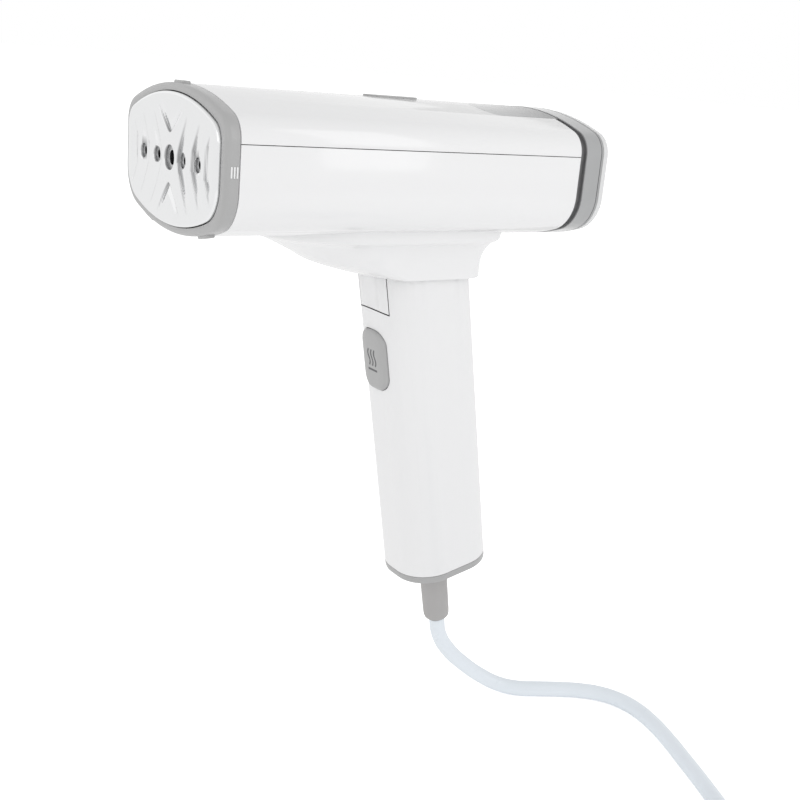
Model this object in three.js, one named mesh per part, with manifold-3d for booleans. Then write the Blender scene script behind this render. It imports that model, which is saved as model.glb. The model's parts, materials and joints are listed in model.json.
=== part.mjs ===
// Handheld garment steamer with a folding handle and a slide-out water tank.
// Millimetres, +Z up. The steam plate faces -Y and the barrel runs along +Y.
// The origin is the middle of the grip, on the handle's own axis.
import * as THREE from 'three';
import { mergeVertices } from 'three/addons/utils/BufferGeometryUtils.js';
import Module from 'manifold-3d';

const wasm = await Module();
wasm.setup();

// ---------------------------------------------------------------- driving dimensions
const GAP = 0.3;            // between pieces that touch
const RUN = 0.5;            // between pieces that slide or turn on each other
const MERGE = 0.002;        // corners closer than this become one

// Cross-section of the barrel: flat sides, a crowned top and a rounded keel
const BARREL = { half: 46, top: 27, bottom: -28, crown: 110, keel: 110, shoulder: 10, chine: 16 };
const BARREL_REAR = 163.2;  // where the white shells end
const SHELL_WALL = 2.4;
const PARTING_Z = 9.5;      // seam between the two barrel shells

const PLATE = { half: 41.2, top: 23.8, bottom: -24.9, crown: 92, keel: 92, shoulder: 8, chine: 14 };
const PLATE_THICK = 3.5;
const PLATE_EDGE = 0.8;     // chamfer around the plate's face
const STEAM_HOLES = [-25, -12, 0, 12, 25];
const MAIN_HOLE_R = 4.4;
const SIDE_HOLE_R = 2.6;

const BEZEL_FRONT = 1.2;     // the plate stands proud of it
const BEZEL_REAR = 6.2;
const BEZEL_INSET = 2.1;    // how far the bezel's front edge is drawn in
const BEZEL_ROUND = 1.8;    // length of its rounded front
const LUG = { wide: 8, long: 3.4, high: 0.9 };
const KEEL_LUG_X = 25;
const RIB = { pitch: 1.1, wide: 0.55, tall: 3.9, high: 0.35, count: 3, y: 1.8 };

const CHAMBER = { half: 32, tall: 30, front: 9, rear: 26 };
const HEATER_R = 3.2;
const SHIELD_Y = 38;
const SHIELD_THICK = 1.5;

const PUMP = { radius: 11, front: 62, rear: 96, z: -4 };
const HOSE_R = 2.5;

const BULKHEAD_Y = 118.5;   // front wall of the tank bay
const BULKHEAD_THICK = 2;
const VALVE_Z = -10;
const SOCKET_FRONT = 111.7;
const NOZZLE_R = 4;

const TANK_FRONT = 124;
const TANK_BAND_FRONT = 166.4;  // the band behind the shells, the full size of the barrel
const TANK_BAND_REAR = 175.7;
const TANK_WALL = 2.2;
const TANK_FIT = 0.5;
const TANK_TRAVEL = 44;     // to draw the tank clear of its bay
const REAR_COVER_THICK = 3.2;
const WINDOW = { half: 27, front: 128.5, corner: 6 };
const FILL_Y = 169.7;
const FILL_R = 3.9;
const FILL_HEAD_R = 5;

const RELEASE = { y: 96, long: 25, wide: 9, travel: 2 };
const LATCH_PIVOT_Y = 110;
const LATCH_Z = 17;
const LATCH_HALF = 3.5;

const SCREW_X = 38;
const SCREW_Y = [48, 112];
const SCREW_R = 1.5;
const SCREW_HEAD_R = 2.8;

const NECK_RIM_Z = -45.5;
const NECK_REAR = 142.7;
const NECK_HALF = 22.4;     // at the rim
const NECK_WALL_GAP = 0.9;  // around the handle inside the rim
const NECK_ROOF_Z = -31;
const POCKET_FRONT = 89.4;  // front wall of the pocket that takes the handle's top

const RAKE = THREE.MathUtils.degToRad(11.15);
const HANDLE_TOP = new THREE.Vector3(0, 115.3, -45);
const HANDLE = { half: 20, deep: 23.6, corner: 17, wall: 2.2 };
const SLEEVE_TOP = 2;
const SLEEVE_BOTTOM = -143.2;
const GRIP_Z = -75;
const CAP_THICK = 3.6;
const CAP_SCREW_X = 11;

const KNUCKLE_R = 7;        // from the hinge's axis to the front of the handle
const KNUCKLE_HALF = 7.4;
const APRON_HALF = 11.2;    // the hinge's cover, seen in a notch at the top of the handle
const APRON_THICK = 2.2;
const APRON_BOTTOM = -12;
const PIVOT_Z = -4;
const EAR_R = 4;
const EAR_HALF = 11;
const PIN_R = 1.6;
const BUSH_R = 2.6;

const TRIGGER = { wide: 17.4, long: 27.8, corner: 6.6, z: -36, proud: 1.6, travel: 3 };
const SWITCH_Z = -28;
const SPRING_Z = -44;
const BOARD = { half: 12, top: -62, bottom: SLEEVE_BOTTOM + 19.2, thick: 1.6 };

const CORD_R = 3.9;
const RELIEF_R = 6.8;
const RELIEF_END = SLEEVE_BOTTOM - 36.4;
const RELIEF_Y = -1.5;
const CORD_Z = -266;        // height of a cord lying on the surface, below the head
const COIL = { x: 179.7, y: 142.5, radius: 41, wide: 23.6, tall: 15.8 };
const TIE_THICK = 1.2;
const PLUG = { long: 40, wide: 26, tall: 16, pinRadius: 2.4, pinLong: 19, pinPitch: 19 };

// ---------------------------------------------------------------- finishes
const finish = (color, roughness, metalness = 0) =>
  new THREE.MeshStandardMaterial({ color, roughness, metalness });
const WHITE = finish(0xf4f4f4, 0.18);
const GREY = finish(0xb4b3b1, 0.4);
const MIRROR = finish(0xe4e5e6, 0.12, 1);
const ALUMINIUM = finish(0xb9bbbd, 0.5, 1);
const STEEL = finish(0x9a9c9f, 0.35, 1);
const SMOKE = finish(0x8f9194, 0.15);
const CLEAR = finish(0xe8ebed, 0.08);
const SILICONE = finish(0x8d8f90, 0.7);
const BLACK = finish(0x2b2c2e, 0.55);
const BOARD_GREEN = finish(0x2f6b46, 0.5);
const BRASS = finish(0xc6a45a, 0.35, 1);
const CORD_WHITE = finish(0xf0f1f3, 0.35);

// ---------------------------------------------------------------- solids
function solidOf(geometry) {
  const bare = geometry.index ? geometry.toNonIndexed() : geometry.clone();
  bare.deleteAttribute('normal');
  bare.deleteAttribute('uv');
  const merged = mergeVertices(bare, 1e-4);
  return new wasm.Manifold(new wasm.Mesh({
    numProp: 3,
    vertProperties: new Float32Array(merged.attributes.position.array),
    triVerts: new Uint32Array(merged.index.array),
  }));
}

function geometryOf(solid) {
  const mesh = solid.simplify(MERGE).getMesh();
  const geometry = new THREE.BufferGeometry();
  const corners = new Float32Array(mesh.vertProperties);
  geometry.setAttribute('position', new THREE.BufferAttribute(corners, 3));
  geometry.setIndex(new THREE.BufferAttribute(new Uint32Array(mesh.triVerts), 1));
  geometry.computeVertexNormals();
  return geometry;
}

const join = (first, ...others) => others.reduce((all, next) => all.add(next), first);
const cut = (first, ...others) => others.reduce((left, next) => left.subtract(next), first);
const common = (first, second) => first.intersect(second);

function piece(name, solid, material) {
  const mesh = new THREE.Mesh(geometryOf(solid), material);
  mesh.name = name;
  return mesh;
}

function extrude(shape, depth, curveSegments = 6) {
  return new THREE.ExtrudeGeometry(shape, { depth, bevelEnabled: false, curveSegments });
}

// A shape drawn in X and Z, as a prism from y0 to y1
const alongY = (shape, y0, y1) =>
  solidOf(extrude(shape, y1 - y0).rotateX(Math.PI / 2).translate(0, y1, 0));

// A shape drawn in X and Y, as a prism from z0 to z1
const alongZ = (shape, z0, z1) => solidOf(extrude(shape, z1 - z0).translate(0, 0, z0));

const box = (x0, x1, y0, y1, z0, z1) =>
  solidOf(new THREE.BoxGeometry(x1 - x0, y1 - y0, z1 - z0)
    .translate((x0 + x1) / 2, (y0 + y1) / 2, (z0 + z1) / 2));

// Cylinders and cones along each axis, from a first to a second end
const rodZ = (x, y, z0, z1, r0, r1 = r0, sides = 16) =>
  solidOf(new THREE.CylinderGeometry(r1, r0, z1 - z0, sides).rotateX(Math.PI / 2)
    .translate(x, y, (z0 + z1) / 2));
const rodY = (x, z, y0, y1, r0, r1 = r0, sides = 16) =>
  solidOf(new THREE.CylinderGeometry(r1, r0, y1 - y0, sides).translate(x, (y0 + y1) / 2, z));
const rodX = (y, z, x0, x1, radius, sides = 16) =>
  solidOf(new THREE.CylinderGeometry(radius, radius, x1 - x0, sides).rotateZ(-Math.PI / 2)
    .translate((x0 + x1) / 2, y, z));

const smallRod = (x, y, z0, z1, radius) => rodZ(x, y, z0, z1, radius, radius, 12);

function polygon(points) {
  return new THREE.Shape(points.map(([x, y]) => new THREE.Vector2(x, y)));
}

function roundRect(wide, tall, radius, cx = 0, cy = 0) {
  const r = Math.min(radius, wide / 2 - 0.01, tall / 2 - 0.01);
  const [x, y] = [wide / 2 - r, tall / 2 - r];
  return new THREE.Shape()
    .absarc(cx + x, cy + y, r, 0, Math.PI / 2)
    .absarc(cx - x, cy + y, r, Math.PI / 2, Math.PI)
    .absarc(cx - x, cy - y, r, Math.PI, 1.5 * Math.PI)
    .absarc(cx + x, cy - y, r, 1.5 * Math.PI, 2 * Math.PI);
}

// Points on a circle about (cx, cy), from one angle to another
function arc(cx, cy, radius, from, to, steps) {
  return Array.from({ length: steps + 1 }, (_, i) => {
    const angle = from + (to - from) * i / steps;
    return [cx + radius * Math.cos(angle), cy + radius * Math.sin(angle)];
  });
}

// The barrel-like outline: a crown arc, two shoulders, flat sides, two chines and a keel arc
function archPoints(s, inset = 0) {
  const [half, top, bottom] = [s.half - inset, s.top - inset, s.bottom + inset];
  const [crown, keel] = [s.crown - inset, s.keel - inset];
  const [shoulder, chine] = [Math.max(s.shoulder - inset, 0.6), Math.max(s.chine - inset, 0.6)];
  const [crownZ, keelZ] = [top - crown, bottom + keel];
  const shoulderZ = crownZ + Math.sqrt((crown - shoulder) ** 2 - (half - shoulder) ** 2);
  const chineZ = keelZ - Math.sqrt((keel - chine) ** 2 - (half - chine) ** 2);
  const rise = Math.atan2(shoulderZ - crownZ, half - shoulder);
  const fall = Math.atan2(chineZ - keelZ, half - chine);
  const side = [
    ...arc(half - chine, chineZ, chine, fall, 0, 4),
    ...arc(half - shoulder, shoulderZ, shoulder, 0, rise, 3),
  ];
  return [
    ...side,
    ...arc(0, crownZ, crown, rise, Math.PI - rise, 8).slice(1, -1),
    ...side.map(([x, z]) => [-x, z]).reverse(),
    ...arc(0, keelZ, keel, -Math.PI - fall, fall, 8).slice(1, -1),
  ];
}

const arch = (section, inset = 0) => polygon(archPoints(section, inset));

// A skin over rings that have equal numbers of points, closed by a fan at each end
function loft(rings) {
  const count = rings[0].length;
  const middle = ring =>
    ring.reduce((sum, p) => sum.add(p), new THREE.Vector3()).divideScalar(count);
  const points = [...rings.flat(), middle(rings[0]), middle(rings.at(-1))];
  const [first, last] = [points.length - 2, points.length - 1];
  const faces = [];
  for (let i = 0; i < count; i += 1) {
    const next = (i + 1) % count;
    const end = (rings.length - 1) * count;
    faces.push(first, next, i, last, end + i, end + next);
    for (let row = 0; row < end; row += count) {
      const above = row + count;
      faces.push(row + i, row + next, above + next, row + i, above + next, above + i);
    }
  }
  const geometry = new THREE.BufferGeometry().setFromPoints(points);
  geometry.setIndex(faces);
  return solidOf(geometry);
}

// Rings of a barrel-like section at a list of [y, inset], from the front to the rear
const archLoft = (section, stations) =>
  loft(stations.map(([y, inset]) =>
    archPoints(section, inset).map(([x, z]) => new THREE.Vector3(x, y, z))).reverse());

function tube(points, radius, steps, sides = 10) {
  const places = points.map(p => new THREE.Vector3(...p));
  const path = new THREE.CatmullRomCurve3(places, false, 'centripetal');
  const section = polygon(arc(0, 0, radius, 0, 2 * Math.PI, sides).slice(0, -1));
  return solidOf(new THREE.ExtrudeGeometry(section, { steps, extrudePath: path }));
}

function spring(length, radius, wire, turns, steps) {
  const points = Array.from({ length: steps + 1 }, (_, i) => {
    const angle = 2 * Math.PI * turns * i / steps;
    const height = wire + (length - 2 * wire) * i / steps;
    return [radius * Math.cos(angle), radius * Math.sin(angle), height];
  });
  return tube(points, wire, steps, 5);
}

// ---------------------------------------------------------------- front of the head
function steamPlate() {
  const slab = archLoft(PLATE, [[0, PLATE_EDGE], [PLATE_EDGE, 0], [PLATE_THICK, 0]]);
  const holes = STEAM_HOLES.map(x => {
    const radius = x === 0 ? MAIN_HOLE_R : SIDE_HOLE_R;
    const mouth = rodY(x, 0, -1, 1.3, radius + 0.4, radius);
    return join(mouth, rodY(x, 0, 1, PLATE_THICK + 1, radius * 0.62));
  });
  return piece('steam_plate', cut(slab, ...holes), MIRROR);
}

function frontBezel() {
  const shell = archLoft(BARREL, [
    [BEZEL_FRONT, BEZEL_INSET],
    [BEZEL_FRONT + 0.35 * BEZEL_ROUND, 0.9],
    [BEZEL_FRONT + BEZEL_ROUND, 0],
    [BEZEL_REAR, 0],
  ]);
  const lugY = BEZEL_REAR - LUG.long;
  const topLug = box(
    -LUG.wide / 2, LUG.wide / 2, lugY, BEZEL_REAR, BARREL.top - 2, BARREL.top + LUG.high);
  const keelZ = BARREL.bottom + KEEL_LUG_X ** 2 / (2 * BARREL.keel);
  const keelLugs = [-1, 1].map(side => box(
    side * KEEL_LUG_X - LUG.wide / 2, side * KEEL_LUG_X + LUG.wide / 2,
    lugY, BEZEL_REAR, keelZ - LUG.high, keelZ + 2));
  const ribs = [-1, 1].flatMap(side => Array.from({ length: RIB.count }, (_, i) => {
    const y = RIB.y + i * RIB.pitch + 1;
    const x = side * BARREL.half;
    return box(x - RIB.high, x + RIB.high, y, y + RIB.wide, -RIB.tall / 2, RIB.tall / 2);
  }));
  const mouth = alongY(arch(PLATE, -GAP), BEZEL_FRONT - 1, BEZEL_REAR + 1);
  return piece('front_bezel', cut(join(shell, topLug, ...keelLugs, ...ribs), mouth), GREY);
}

function plateGasket() {
  const [front, rear] = [PLATE_THICK + GAP, BEZEL_REAR - 0.2];
  const ring = cut(alongY(arch(PLATE, 0.2), front, rear), alongY(arch(PLATE, 4), front - 1, rear + 1));
  return piece('plate_gasket', ring, SILICONE);
}

function steamChamber() {
  const nose = alongY(arch(PLATE, 4.4), PLATE_THICK + GAP, BEZEL_REAR + 1);
  const flange = alongY(arch(PLATE, 1), BEZEL_REAR + 0.1, CHAMBER.front);
  const body = alongY(roundRect(2 * CHAMBER.half, CHAMBER.tall, 6), CHAMBER.front - 0.5, CHAMBER.rear);
  const gallery = box(-28, 28, 0, CHAMBER.rear - 8, -4, 4);
  const inlet = rodY(0, 0, CHAMBER.rear - 9, CHAMBER.rear + 1, 2.2);
  return piece('steam_chamber', cut(join(nose, flange, body), gallery, inlet), ALUMINIUM);
}

function heatingElement() {
  const y = CHAMBER.rear + HEATER_R + GAP;
  const reach = CHAMBER.half - 10;
  const points = [[-reach - 4, y, 9], [-10, y, 9], [8, y, 9], [17, y, 6], [21, y, 0],
    [17, y, -6], [8, y, -9], [-10, y, -9], [-reach - 4, y, -9]];
  return piece('heating_element', tube(points, HEATER_R, 30), STEEL);
}

function chamberCover() {
  const y = CHAMBER.rear + 2 * HEATER_R + 2 * GAP;
  const sheet = alongY(roundRect(2 * CHAMBER.half, CHAMBER.tall, 6), y, y + 1.2);
  return piece('chamber_cover', cut(sheet, rodY(0, 0, y - 1, y + 2, HOSE_R + 0.6)), STEEL);
}

function thermostat() {
  const z = CHAMBER.tall / 2 + GAP;
  const can = rodZ(-12, 17, z, z + 4.6, 7);
  const tabs = box(-20.5, -3.5, 15, 19, z + 3, z + 4);
  return piece('thermostat', join(can, tabs), STEEL);
}

function thermalFuse() {
  return piece('thermal_fuse', rodX(17, CHAMBER.tall / 2 + GAP + 2.2, 6, 20, 2), BRASS);
}

function heatShield() {
  const sheet = alongY(arch(BARREL, SHELL_WALL + GAP + 0.2), SHIELD_Y, SHIELD_Y + SHIELD_THICK);
  const hole = rodY(0, 0, SHIELD_Y - 1, SHIELD_Y + SHIELD_THICK + 1, HOSE_R + 0.8);
  return piece('heat_shield', cut(sheet, hole), BLACK);
}

// ---------------------------------------------------------------- barrel and neck
// Ring of the neck at one height: a tapering nose in front and rounded corners behind
function neckRing(z, half, front, nose, rear, corner) {
  const noseSide = arc(0, 0, 1, 0, -Math.PI / 2, 8)
    .map(([x, y]) => [half * x, front + nose + nose * y]);
  const rearSide = arc(half - corner, rear - corner, corner, Math.PI / 2, 0, 5);
  const right = [...rearSide, ...noseSide];
  const left = right.slice(0, -1).reverse().map(([x, y]) => [-x, y]);
  return [...right, ...left].reverse().map(([x, y]) => new THREE.Vector3(x, y, z));
}

function neckBody() {
  return loft([
    neckRing(NECK_RIM_Z, NECK_HALF, 87, 12, NECK_REAR, 16),
    neckRing(-43.7, NECK_HALF + 0.2, 76, 19, NECK_REAR - 0.3, 16),
    neckRing(-40, NECK_HALF + 0.9, 62.5, 27, NECK_REAR - 0.8, 16),
    neckRing(-36.3, NECK_HALF + 2, 55, 32, NECK_REAR - 0.6, 17),
    neckRing(-33, NECK_HALF + 3.6, 48, 35, NECK_REAR + 0.4, 18),
    neckRing(-30, NECK_HALF + 6, 41, 37, NECK_REAR + 2.4, 20),
    neckRing(-27.4, NECK_HALF + 9, 33.5, 40, NECK_REAR + 5.5, 22),
    neckRing(-20, NECK_HALF + 9, 33.5, 40, NECK_REAR + 5.5, 22),
  ]);
}

function barrelTube() {
  const outer = alongY(arch(BARREL), BEZEL_REAR + GAP, BARREL_REAR);
  return cut(outer, alongY(arch(BARREL, SHELL_WALL), 0, BARREL_REAR + 1));
}

const upperHalf = () => box(-60, 60, -10, 200, PARTING_Z + GAP / 2, 60);
const lowerHalf = () => box(-60, 60, -10, 200, -60, PARTING_Z - GAP / 2);

const windowShape = (grow = 0) =>
  roundRect(2 * (WINDOW.half + grow), 100, WINDOW.corner + grow, 0, WINDOW.front + 50 - grow);

function screwBoss(x, y, z0, z1) {
  return common(smallRod(x, y, z0, z1, 3.6), alongY(arch(BARREL, SHELL_WALL / 2), 0, BARREL_REAR));
}

const screwPlaces = [-1, 1].flatMap(side => SCREW_Y.map(y => [side * SCREW_X, y]));
const SCREW_SEAT_Z = -6;
const SCREW_TIP_Z = 17;

function barrelUpperShell() {
  const posts = screwPlaces.map(([x, y]) => screwBoss(x, y, PARTING_Z + GAP / 2, BARREL.top));
  const pilots = screwPlaces.map(([x, y]) => smallRod(x, y, 0, SCREW_TIP_Z + 1, SCREW_R + GAP));
  const window = alongZ(windowShape(), 15, 40);
  const slot = alongZ(
    roundRect(RELEASE.wide + 2 * GAP, RELEASE.long + 2 * GAP, 9, 0, RELEASE.y), 15, 40);
  const shell = common(barrelTube(), upperHalf());
  return piece('barrel_upper_shell', cut(join(shell, ...posts), ...pilots, window, slot), WHITE);
}

function barrelLowerShell() {
  const posts = screwPlaces.map(([x, y]) => screwBoss(x, y, BARREL.bottom, PARTING_Z - GAP / 2));
  const seats = screwPlaces.map(([x, y]) => smallRod(x, y, -40, SCREW_SEAT_Z, SCREW_HEAD_R + GAP));
  const pilots = screwPlaces.map(([x, y]) => smallRod(x, y, -40, 20, SCREW_R + GAP));
  const neck = cut(neckBody(), alongY(arch(BARREL, SHELL_WALL), 0, 200));
  const side = HANDLE.half + NECK_WALL_GAP;
  const rear = NECK_REAR - SHELL_WALL;
  const pocket = alongZ(
    roundRect(2 * side, rear - POCKET_FRONT, 15.5, 0, (POCKET_FRONT + rear) / 2), -60, NECK_ROOF_Z);
  const lead = rodZ(0, 126, -60, 0, 4);
  const shell = common(barrelTube(), lowerHalf());
  const whole = cut(join(shell, neck, ...posts), pocket, lead, ...seats, ...pilots);
  return piece('barrel_lower_shell', whole, WHITE);
}

function shellScrew([x, y], index) {
  const shank = smallRod(x, y, SCREW_SEAT_Z - 1, SCREW_TIP_Z, SCREW_R);
  const head = smallRod(x, y, SCREW_SEAT_Z - 2, SCREW_SEAT_Z - GAP, SCREW_HEAD_R);
  return piece(`shell_screw_${index + 1}`, join(shank, head), STEEL);
}

// ---------------------------------------------------------------- pump and hoses
function pump() {
  const body = rodY(0, PUMP.z, PUMP.front, PUMP.rear, PUMP.radius, PUMP.radius, 24);
  const inlet = rodY(0, PUMP.z, PUMP.rear - 1, PUMP.rear + 6, 2.6);
  const outlet = rodY(0, PUMP.z, PUMP.front - 6, PUMP.front + 1, 2.6);
  return piece('pump', join(body, inlet, outlet), BLACK);
}

function pumpBracket() {
  const low = PUMP.z - PUMP.radius - 5;
  const block = box(-16, 16, PUMP.front + 6, PUMP.rear - 6, low, PUMP.z - 2);
  const saddle = rodY(0, PUMP.z, PUMP.front, PUMP.rear, PUMP.radius + GAP, PUMP.radius + GAP, 24);
  return piece('pump_bracket', cut(block, saddle), GREY);
}

function steamHose() {
  const from = CHAMBER.rear + 2 * HEATER_R + 2 * GAP - 0.5;
  const to = PUMP.front - 6 - GAP;
  const points = [[0, from - 4, 0], [0, from + 6, 0], [0, from + 12, PUMP.z / 2],
    [0, to - 5, PUMP.z], [0, to, PUMP.z]];
  return piece('steam_hose', tube(points, HOSE_R, 12), SILICONE);
}

function feedHose() {
  const from = PUMP.rear + 6 + GAP;
  const to = SOCKET_FRONT - GAP;
  const points = [[0, from, PUMP.z], [0, from + 2, PUMP.z], [0, to - 2, VALVE_Z], [0, to, VALVE_Z]];
  return piece('feed_hose', tube(points, HOSE_R, 10), SILICONE);
}

// ---------------------------------------------------------------- tank bay and latch
function bayBulkhead() {
  const rear = BULKHEAD_Y + BULKHEAD_THICK;
  const wall = alongY(arch(BARREL, SHELL_WALL + GAP + 0.2), BULKHEAD_Y, rear);
  const shelf = box(-8, 8, 95, BULKHEAD_Y + 1, 7.5, 9);
  const ears = [-1, 1].map(side => {
    const x = side * (LATCH_HALF + RUN + 1.5);
    return box(x - 1.5, x + 1.5, LATCH_PIVOT_Y - 3, BULKHEAD_Y + 1, 8, LATCH_Z + 3);
  });
  const slot = box(-LATCH_HALF - 1, LATCH_HALF + 1, BULKHEAD_Y - 1, rear + 1, 11, 23);
  const port = rodY(0, VALVE_Z, BULKHEAD_Y - 1, rear + 1, 6.2 + GAP);
  const pin = rodX(LATCH_PIVOT_Y, LATCH_Z, -12, 12, 1.5 + GAP, 12);
  return piece('bay_bulkhead', cut(join(wall, shelf, ...ears), slot, port, pin), BLACK);
}

function tankSocket() {
  const body = join(rodY(0, VALVE_Z, SOCKET_FRONT, TANK_FRONT - 1, 6.2),
    rodY(0, VALVE_Z, 116.4, BULKHEAD_Y - GAP, 8));
  return piece('tank_socket', cut(body, rodY(0, VALVE_Z, 113.4, TANK_FRONT, NOZZLE_R + 1.1)), GREY);
}

function latchPin() {
  const reach = LATCH_HALF + RUN + 3;
  return piece('latch_pin', rodX(LATCH_PIVOT_Y, LATCH_Z, -reach, reach, 1.5, 12), STEEL);
}

function tankLatch() {
  const bar = box(-LATCH_HALF, LATCH_HALF, 97, TANK_FRONT + 5, LATCH_Z - 1, LATCH_Z + 1);
  const hub = rodX(LATCH_PIVOT_Y, LATCH_Z, -LATCH_HALF, LATCH_HALF, 3.2, 16);
  const hook = box(-LATCH_HALF, LATCH_HALF, TANK_FRONT + 3, TANK_FRONT + 5, LATCH_Z - 4, LATCH_Z);
  const bore = rodX(LATCH_PIVOT_Y, LATCH_Z, -10, 10, 1.5 + GAP, 12);
  return piece('tank_latch', cut(join(bar, hub, hook), bore), GREY);
}

function latchSpring() {
  const coil = spring(LATCH_Z - 1 - 9 - 2 * GAP, 2.6, 0.4, 4, 32);
  return piece('latch_spring', coil.translate([0, 101, 9 + GAP]), STEEL);
}

function tankReleaseButton() {
  const pill = alongZ(roundRect(RELEASE.wide, RELEASE.long, 9, 0, RELEASE.y), 22, 40);
  const face = common(pill, alongY(arch(BARREL, 0.4), 0, BARREL_REAR));
  const flangeTop = BARREL.top - SHELL_WALL - 0.7;
  const flange = alongZ(
    roundRect(RELEASE.wide + 3, RELEASE.long + 3, 6, 0, RELEASE.y), flangeTop - 1.4, flangeTop);
  const stem = box(-3, 3, 97, 99.5, LATCH_Z + 1 + GAP, flangeTop - 1);
  return piece('tank_release_button', join(face, flange, stem), WHITE);
}

// ---------------------------------------------------------------- water tank
const tankBox = inset => alongY(arch(BARREL, inset), TANK_FRONT, BARREL_REAR + 2);

function waterTank() {
  const body = tankBox(SHELL_WALL + TANK_FIT);
  const land = common(alongY(arch(BARREL, 0.1), TANK_FRONT, BARREL_REAR + 2),
    alongZ(windowShape(-TANK_FIT), 15, 40));
  const waist = alongY(arch(BARREL, 1.6), BARREL_REAR + 1, TANK_BAND_FRONT + 1);
  const band = alongY(arch(BARREL), TANK_BAND_FRONT, TANK_BAND_REAR);
  const hollow = alongY(arch(BARREL, SHELL_WALL + TANK_FIT + TANK_WALL),
    TANK_FRONT + TANK_WALL, TANK_BAND_REAR - TANK_WALL);
  const pad = rodZ(0, FILL_Y, BARREL.bottom, BARREL.bottom + 7.5, 8.4);
  const [wide, low] = [LATCH_HALF + 1, LATCH_Z - 6];
  const pocketWall = box(-wide - 2, wide + 2, TANK_FRONT, TANK_FRONT + 10, low - 2, 30);
  const pocket = box(-wide, wide, TANK_FRONT - 1, TANK_FRONT + 8, low, LATCH_Z + 5.4);
  const port = rodY(0, VALVE_Z, TANK_FRONT - 1, TANK_FRONT + 4, 2.6);
  const fillHole = rodZ(0, FILL_Y, -40, -15, FILL_R + GAP);
  const fillSeat = rodZ(0, FILL_Y, -40, BARREL.bottom + 2.4, FILL_HEAD_R + GAP);
  const water = cut(hollow, pad, pocketWall);
  const outside = join(body, land, waist, band);
  return piece('water_tank', cut(outside, water, pocket, port, fillHole, fillSeat), SMOKE);
}

function tankRearCover() {
  const front = TANK_BAND_REAR + GAP;
  const rear = front + REAR_COVER_THICK;
  return piece('tank_rear_cover', archLoft(BARREL, [[front, 0], [rear - 1.4, 0], [rear, 1.2]]), CLEAR);
}

function tankNozzle() {
  const spout = rodY(0, VALVE_Z, 114.2, TANK_FRONT - GAP, NOZZLE_R - 0.4);
  const stem = rodY(0, VALVE_Z, TANK_FRONT - 1, TANK_FRONT + 3, 2.2);
  return piece('tank_nozzle', cut(join(spout, stem), rodY(0, VALVE_Z, 110, 130, 1.2)), GREY);
}

function nozzleSeal() {
  const ring = cut(rodY(0, VALVE_Z, 117, 119, NOZZLE_R + 0.7),
    rodY(0, VALVE_Z, 116, 120, NOZZLE_R - 0.1));
  return piece('nozzle_seal', ring, SILICONE);
}

function tankFillPlug() {
  const head = rodZ(0, FILL_Y, BARREL.bottom + 0.1, BARREL.bottom + 2.1, FILL_HEAD_R);
  const stem = rodZ(0, FILL_Y, BARREL.bottom + 2, BARREL.bottom + 6.5, FILL_R);
  return piece('tank_fill_plug', join(head, stem), SILICONE);
}

// ---------------------------------------------------------------- hinge
// Handle pieces are drawn about the top of the handle's axis: -Y in front, -Z down the handle
const handleSection = (inset = 0) =>
  roundRect(2 * (HANDLE.half - inset), 2 * (HANDLE.deep - inset), HANDLE.corner - inset);

const PIVOT = { y: -HANDLE.deep + KNUCKLE_R, z: PIVOT_Z };
const APRON_R = Math.hypot(KNUCKLE_R, PIVOT_Z - APRON_BOTTOM);   // swept by the cover's lower edge

// Everything above a level plane that crosses the handle's axis at z
const above = z => box(-60, 60, -60, 60, 0, 60).rotate([-THREE.MathUtils.radToDeg(RAKE), 0, 0])
  .translate([0, 0, z]);

function hingeTongue() {
  const [front, rear] = [PIVOT.y - KNUCKLE_R, PIVOT.y + KNUCKLE_R - 1];
  const knuckle = rodX(PIVOT.y, PIVOT.z, -KNUCKLE_HALF, KNUCKLE_HALF, KNUCKLE_R - 0.2, 24);
  const arm = box(-KNUCKLE_HALF, KNUCKLE_HALF, front, rear, PIVOT.z, 30);
  const apron = box(
    -APRON_HALF, APRON_HALF, front, front + APRON_THICK, APRON_BOTTOM, SLEEVE_TOP + 8);
  const lowerWeb = box(-KNUCKLE_HALF, KNUCKLE_HALF, front, PIVOT.y, APRON_BOTTOM, PIVOT.z);
  const swept = rodX(PIVOT.y, PIVOT.z, -20, 20, APRON_R, 36);
  const low = common(join(apron, lowerWeb), join(swept, box(-20, 20, -40, 40, PIVOT.z, 40)));
  const shaped = common(join(knuckle, arm, low), alongZ(handleSection(0.15), -40, 40));
  const bore = rodX(PIVOT.y, PIVOT.z, -20, 20, PIN_R + GAP, 16);
  const placed = cut(shaped, bore).rotate([THREE.MathUtils.radToDeg(RAKE), 0, 0])
    .translate([0, HANDLE_TOP.y, HANDLE_TOP.z]);
  const roof = box(-30, 30, 60, 160, NECK_ROOF_Z - GAP, 0);
  const pocketWall = box(-30, 30, 60, POCKET_FRONT + GAP, NECK_RIM_Z - 0.5, 0);
  return piece('hinge_tongue', cut(placed, roof, pocketWall), WHITE);
}

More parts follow.
